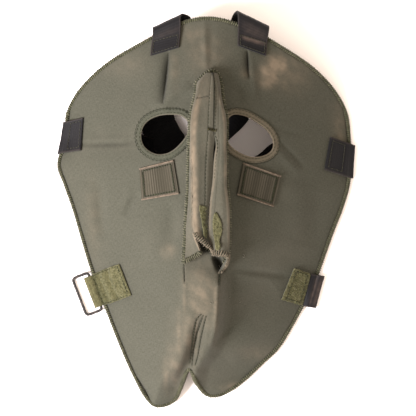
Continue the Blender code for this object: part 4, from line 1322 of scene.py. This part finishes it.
def make_strap(name, stations, boxes=(), worn=(), steps=6, body="root"):
    """A webbing strap that stands for the CAD node of that name, with its stitched boxes."""
    panel = ribbon_panel(stations, steps, 49)
    strap = panel.mesh(f"{name}_webbing", BLACK, WEB_THICK, webbing_relief(panel))
    across, down = panel.across, panel.down
    rub = np.zeros(across.shape)
    for (cu, cv), (ru, rv), strength in worn:
        spot = strength * np.exp(-((across - cu) / ru) ** 4 - ((down - cv) / rv) ** 2)
        rub = np.maximum(rub, spot)
    edge = np.minimum(across, 1 - across) * WEB_WIDTH
    rub = np.maximum(rub * (0.8 + 0.3 * waves(panel.x, panel.y, 83, 3)),
                     0.22 * bell((edge - 0.4) / 0.5))
    set_values(strap, worn=np.clip(rub, 0, 1))
    place(strap, "black_elastic", name, body=body)
    if boxes:
        routes = [panel.route(corners, WEB_THICK + 0.1, closed=True) for corners in boxes]
        sew(f"{name}_stitches", routes, STRAP_STITCH, 0.24, 1.8, 0.8)


# How high a strap lies over the others at the back: on one of them, and on two.
LEVEL = STRAP_THICK + 0.8
ONE_UP, TWO_UP = STRAP_THICK + LEVEL, STRAP_THICK + 2 * LEVEL
# The straps' stations.
LEFT_TOP = [
    (-20.8, 123.4, -42.8, 117.2, 0.5, 0.5, 1), (-20.0, 131, -42.0, 126, 0.5, 0.5, 1),
    (-19.6, 139.6, -41.4, 132.0, 1.7, 1.7, 1), (-19.6, 146.6, -41.1, 137.2, 2.0, 2.4, 1),
    (-17.6, 149.0, -40.4, 138.8, -2.0, -2.0, 1), (-12.2, 146.6, -39.0, 136.6, -5.5, -6.5, 1),
    (-10.5, 138, -37.0, 129, -12, -12, 1), (-11, 122, -35.8, 116, -6, -6, 0.55),
    (-15, 104, -39.5, 101, 11), (-23, 89, -46, 81, 6.5), (-26, 75, -52, 67, 6, ONE_UP),
    (-20.5, 62, -45, 51, 6, ONE_UP), (-10, 48, -32, 36, ONE_UP), (6, 33, -16.5, 22, ONE_UP)]
RIGHT_TOP = [
    (45.6, 117.2, 23.9, 124.8, 0.5, 0.5, 1), (46.3, 126, 24.0, 132, 0.5, 0.5, 1),
    (47.0, 131.0, 24.2, 141.0, 1.8, 1.7, 1), (47.9, 137.6, 24.0, 148.8, 2.6, 2.2, 1),
    (47.4, 139.9, 23.4, 151.2, -2.0, -2.0, 1), (45.5, 137.6, 20.5, 149.0, -6.5, -6.5, 1),
    (43, 130, 18.0, 141, -12, -12, 1), (42, 116, 17.5, 124, -6, -6, 0.55), (42, 102, 17, 106, 12),
    (39, 88, 16.5, 97, 7), (32, 68, 15, 86, TWO_UP), (14.5, 50.5, -2.5, 68.5, TWO_UP),
    (-5, 31, -21, 50, TWO_UP)]
LEFT_SIDE = [
    (-95.1, 70.5, -96.9, 45, 0.5, 0.5, 1), (-102, 69.2, -105, 44, 0.8, 0.8, 1),
    (-107.6, 68, -111.6, 43, 2.2, 2.2, 1), (-110.6, 67.4, -114.9, 42, 2.9),
    (-107.6, 67.6, -111.4, 42.6), (-98, 67, -101, 42), (-76, 63, -77, 38.5),
    (-62, 59, -60, 42.5, 6, STRAP_THICK), (-49, 56.5, -48, 43, 11, STRAP_THICK),
    (-37, 53, -37, 32), (-24, 47, -24, 22), (-6.5, 43.5, -6.5, 18.5)]
RIGHT_SIDE = [
    (91.2, 30, 95.8, 55.7, 0.5, 0.5, 1), (102, 26.8, 105.5, 52.4, 0.8, 0.8, 1),
    (108.6, 24.6, 111.2, 50.6, 2.2, 2.2, 1), (113.2, 23.5, 114.7, 49.4, 2.9),
    (109.6, 24.4, 111.4, 49.8), (95, 29, 98, 54), (80, 30, 79, 55), (62.5, 28, 53, 51.5),
    (48, 18, 38, 40.5), (24, 14, 20, 38.5), (-4.5, 18.5, -4.5, 43.5)]


def make_straps():
    """The four sewn-on straps and the square where they meet at the back."""
    hem = [(0.08, 0.012), (0.92, 0.012), (0.92, 0.1), (0.08, 0.1)]
    side_hem = [(0.1, 0.02), (0.9, 0.02), (0.9, 0.13), (0.1, 0.13)]
    make_strap("left_top_strap", LEFT_TOP, [hem], [((0.5, 0.14), (0.5, 0.03), 0.15)])
    make_strap("right_top_strap", RIGHT_TOP, [hem],
               [((0.45, 0.085), (0.4, 0.018), 0.95), ((0.45, 0.17), (0.4, 0.05), 0.28)])
    make_strap("left_side_strap", LEFT_SIDE, [side_hem])
    make_strap("right_side_strap", RIGHT_SIDE, [side_hem])
    grid = np.stack(np.meshgrid(np.linspace(-21, 7, 29), np.linspace(47, 21, 27), [TWO_UP + 0.8]),
                    axis=-1)
    panel = Panel(grid[:, :, 0], flip=True)
    joint = panel.mesh("rear_junction_webbing", BLACK, STRAP_THICK, webbing_relief(panel, 85))
    set_values(joint, worn=0.0)
    place(joint, "black_elastic", "rear_junction")


make_straps()


# ------------------------------------------------------------------ lower tabs, loop, neck strap

TAB_ALONG = np.array((0.361, -0.933))
TAB_OUT = np.array((-0.933, -0.361))
TAB_FOLD_R = 1.8
TAB_SLACK = 2.0  # how far out of the bar's axis the fold's own axis is
BAR_HEIGHT = TAB_FOLD_R + STRAP_THICK
BAR_AXIS = np.array((-86.701, -64.267))
HALF_TAB = 12.5


def tab_station(reach, height, follow, grow=0.0):
    """Rails of the folded tab at a distance out from the bar's axis."""
    a = BAR_AXIS + reach * TAB_OUT - (HALF_TAB + grow) * TAB_ALONG
    b = BAR_AXIS + reach * TAB_OUT + (HALF_TAB + grow) * TAB_ALONG
    return (*a, *b, height, height, follow)


# Dents and rolls across the left tab: distance in from the bar, height and width.
TAB_DENTS = ((8.5, -0.8, 1.5), (15.5, -1.0, 1.3), (12, 0.6, 2.2), (20.5, 0.4, 3.0))


def make_left_tab():
    """The pile tape that is folded round the loop's bar."""
    top = BAR_HEIGHT + TAB_FOLD_R
    upper = [tab_station(-26, 0.6, 1, 0.3), tab_station(-20, 0.6, 1, 0.6),
             tab_station(-13, 0.8, 1, 0.7), tab_station(-7, 1.6, 1, 0.4),
             tab_station(-3.2, 2.6, 1), tab_station(-1.2, top, 0)]
    turn = [tab_station(TAB_SLACK + TAB_FOLD_R * math.sin(a),
                        BAR_HEIGHT + TAB_FOLD_R * math.cos(a), 0)
            for a in np.linspace(0, math.pi, 7)]
    lower = [tab_station(-4, STRAP_THICK, 0), tab_station(-11, STRAP_THICK, 0)]
    panel = ribbon_panel(upper + turn + lower, 6, 60)
    x, y = panel.x, panel.y
    reach = -((x - BAR_AXIS[0]) * TAB_OUT[0] + (y - BAR_AXIS[1]) * TAB_OUT[1])
    relief = 0.22 * waves(x, y, 91, 1.6) + 0.25 * waves(x, y, 92, 5)
    for where, height, width in TAB_DENTS:
        relief += height * bell((reach - where + 1.2 * np.sin(3 * panel.across)) / width)
    relief *= smoothstep((reach + 1.0) / 3.0) * smoothstep((0.55 - panel.down) / 0.05)
    place(panel.mesh("left_lower_tab_tape", LIME, WEB_THICK, relief), "lime_tape",
          "left_lower_tab")
    rim = panel.route([(0.03, 0.02), (0.97, 0.02)], STRAP_THICK + 0.1)
    sides = [panel.route([(u, 0.03), (u, 0.3)], STRAP_THICK + 0.2) for u in (0.04, 0.96)]
    sew("left_lower_tab_stitches", [rim] + sides, TAPE_STITCH, 0.28, 2.0, 0.8)
    surface = panel.lifted(relief + STRAP_THICK)[:len(x) * 3 // 8]
    grid_pile("left_lower_tab_pile", surface, 1500, "root")


def grid_pile(name, surface, count, body):
    """Pile on a grid of points."""
    a, b, c, d = grid_corners(*surface.shape[:2])
    faces = np.concatenate((np.column_stack((a, b, c)), np.column_stack((a, c, d))))
    pile(name, surface.reshape(-1, 3), faces, count, body)


# The wire loop as it is drawn: wire radius, length along the bar, reach out from it and the radius
# of its corners.
WIRE_R, LOOP_LENGTH, LOOP_REACH, LOOP_CORNER = 1.15, 33.1, 13.3, 2.4


def make_loop():
    """Bent wire loop, with the butt joint of its ends in the middle of the inner bar."""
    inner, half_gap = LOOP_LENGTH / 2 - WIRE_R - LOOP_CORNER, 0.2
    drop = math.asin((BAR_HEIGHT - WIRE_R) / LOOP_REACH)
    points = [(half_gap, 0.0)]
    for side, out, start in ((inner, LOOP_CORNER, -90), (inner, LOOP_REACH - LOOP_CORNER, 0),
                             (-inner, LOOP_REACH - LOOP_CORNER, 90), (-inner, LOOP_CORNER, 180)):
        for angle in np.radians(np.linspace(start, start + 90, 9)):
            points.append((side + LOOP_CORNER * math.cos(angle),
                           out + LOOP_CORNER * math.sin(angle)))
    points.append((-half_gap, 0.0))
    plan = even_path(np.array(points), 0.8)
    plan = plan + 0.05 * np.random.default_rng(RNG_SEED).normal(size=plan.shape)
    side, reach = plan.T[..., None]
    path = np.hstack((BAR_AXIS + side * TAB_ALONG + reach * math.cos(drop) * TAB_OUT,
                      BAR_HEIGHT - reach * math.sin(drop)))
    place(tubes("wire_loop", [path], WIRE_R, WIRE, 14), "dark_wire", "strap_loop",
          body="strap_loop")


# The ends of the neck strap's hinge line at the right lower tab, and the way out from it.
ROOT_TOP, ROOT_FOOT = np.array((76.6, -49.4)), np.array((69.0, -74.2))
ROOT_OUT = np.array((0.952, -0.307))


def make_right_lower():
    """The right pile tape, the tab under it, and the neck strap with its hook tape."""
    panel = four_sided([(57.9, -70.4), (74.2, -75.2), (80.4, -50.4), (67.6, -45.9)], 40, 70, 0.5)
    relief = 0.2 * waves(panel.x, panel.y, 94, 1.6) + 0.2 * waves(panel.x, panel.y, 95, 4)
    place(panel.mesh("right_lower_tape_pile_base", LIME, TAPE_THICK, relief), "lime_tape",
          "right_lower_tape")
    sew("right_lower_tape_stitches", [panel.route(box(0.16, 0.07), TAPE_THICK + 0.15, closed=True)],
        TAPE_STITCH, 0.3, 2.0, 0.8)
    grid_pile("right_lower_tape_pile", panel.lifted(relief + TAPE_THICK), 750, "root")

    tab = [(75.4, -75.8, 81.3, -50.6, 1.6, 0.8, 1), (78.6, -76.5, 85.0, -51.4, 5.0, 1.6, 1),
           (80.6, -77, 88.0, -52, 4.3, 4.8), (84.2, -77.4, 91.0, -52.4, 2.8, 2.9),
           (80.8, -76.8, 87.2, -51.8), (*(ROOT_FOOT + ROOT_OUT), *(ROOT_TOP + ROOT_OUT))]
    # The two pale bands across the tab are painted sheen.
    make_strap("right_lower_tab", tab, (),
               [((0.5, 0.3), (0.45, 0.1), 0.5), ((0.5, 0.5), (0.45, 0.06), 0.6)], steps=10)
    neck = [(*(ROOT_FOOT - ROOT_OUT), *(ROOT_TOP - ROOT_OUT)), (42, -65, 49, -41),
            (8, -58, 12, -33.5), (-26, -55, -25, -30), (-58, -55, -58, -30)]
    make_strap("neck_strap", neck, steps=12, body="neck_strap")
    x, y = np.meshgrid(np.linspace(-56, -30, 52), np.linspace(-32, -53, 42))
    z = STRAP_THICK + 0.5 + 0.15 * waves(x, y, 96, 1.6)
    hook = Panel(np.stack((x, y, z), axis=-1), flip=True)
    place(hook.mesh("neck_strap_hook_tape", LIME, 1.0), "lime_tape", "neck_strap_hook",
          body="neck_strap")
    grid_pile("neck_strap_hook_pile", hook.points + (0, 0, 1.0), 500, "neck_strap")
    sew("neck_strap_hook_stitches", [hook.route(box(0.04, 0.05), 1.15, closed=True)], TAPE_STITCH,
        0.28, 2.0, 0.8, body="neck_strap")


make_left_tab()
make_loop()
make_right_lower()


# ------------------------------------------------------------------ lint

def make_lint():
    """Curls of pale lint caught on the cloth."""
    rng = np.random.default_rng(5)
    curls = []
    for x, y, size in ((28.5, -36.8, 2.6), (25.8, -72, 1.5), (3.8, -72, 1.6), (-5.4, -114, 0.8),
                       (18, -68, 0.8), (10.6, -44.4, 1.8)):
        t = np.linspace(0, 1, 12)
        turn = rng.uniform(0, 2 * math.pi)
        plan = np.column_stack((x + size * (t - 0.5) * math.cos(turn) + 0.4 * size * np.sin(6 * t),
                                y + size * (t - 0.5) * math.sin(turn) + 0.3 * size * np.cos(7 * t)))
        curls.append(on_face(plan, 0.5))
    place(tubes("lint_curls", curls, 0.16, LINT, 4), "olive_thread")


make_lint()


# ------------------------------------------------------------------ floor, light, camera

KEY_LEVEL, SKY_LEVEL = 4.3, 1.75
SKY_COLOR, KEY_COLOR = (1.0, 0.93, 0.8, 1), (0.97, 0.99, 1.0)
KEY_PLACE, KEY_SIZE = Vector((-1.2, -0.58, 1.08)), 0.8
FLOOR_HALF, FLOOR_HEIGHT = 3000, -0.2


def make_stage():
    """A pale floor, a warm sky and one soft light from the left and above."""
    corners = [(x * FLOOR_HALF, y * FLOOR_HALF, FLOOR_HEIGHT)
               for x, y in ((-1, -1), (1, -1), (1, 1), (-1, 1))]
    add_mesh("floor", corners, [(0, 1, 2, 3)], floor_material(), smooth=False)
    scene = bpy.context.scene
    scene.view_settings.view_transform = "Standard"
    scene.world = bpy.data.worlds.new("studio")
    scene.world.use_nodes = True
    background = scene.world.node_tree.nodes["Background"]
    background.inputs["Color"].default_value = SKY_COLOR
    background.inputs["Strength"].default_value = SKY_LEVEL
    light = bpy.data.lights.new("key", "AREA")
    light.shape, light.size, light.color = "DISK", KEY_SIZE, KEY_COLOR
    light.energy = KEY_LEVEL * math.pi ** 2 * KEY_PLACE.length_squared
    lamp = bpy.data.objects.new("key", light)
    lamp.location, lamp.rotation_mode = KEY_PLACE, "QUATERNION"
    lamp.rotation_quaternion = (-KEY_PLACE).to_track_quat("-Z", "Y")
    scene.collection.objects.link(lamp)


def make_camera():
    """Straight above, from far enough that the tall nose is hardly enlarged."""
    view_width, distance, middle = 0.3203, 2.5, 0.03
    camera = bpy.data.cameras.new("camera")
    camera.sensor_width = 36
    camera.lens = 36 * (distance - middle) / view_width
    camera.clip_start, camera.clip_end = 0.1, 50
    eye = bpy.data.objects.new("camera", camera)
    eye.location = (0.0012, 0.0004, distance)
    bpy.context.scene.collection.objects.link(eye)
    bpy.context.scene.camera = eye


make_stage()
make_camera()
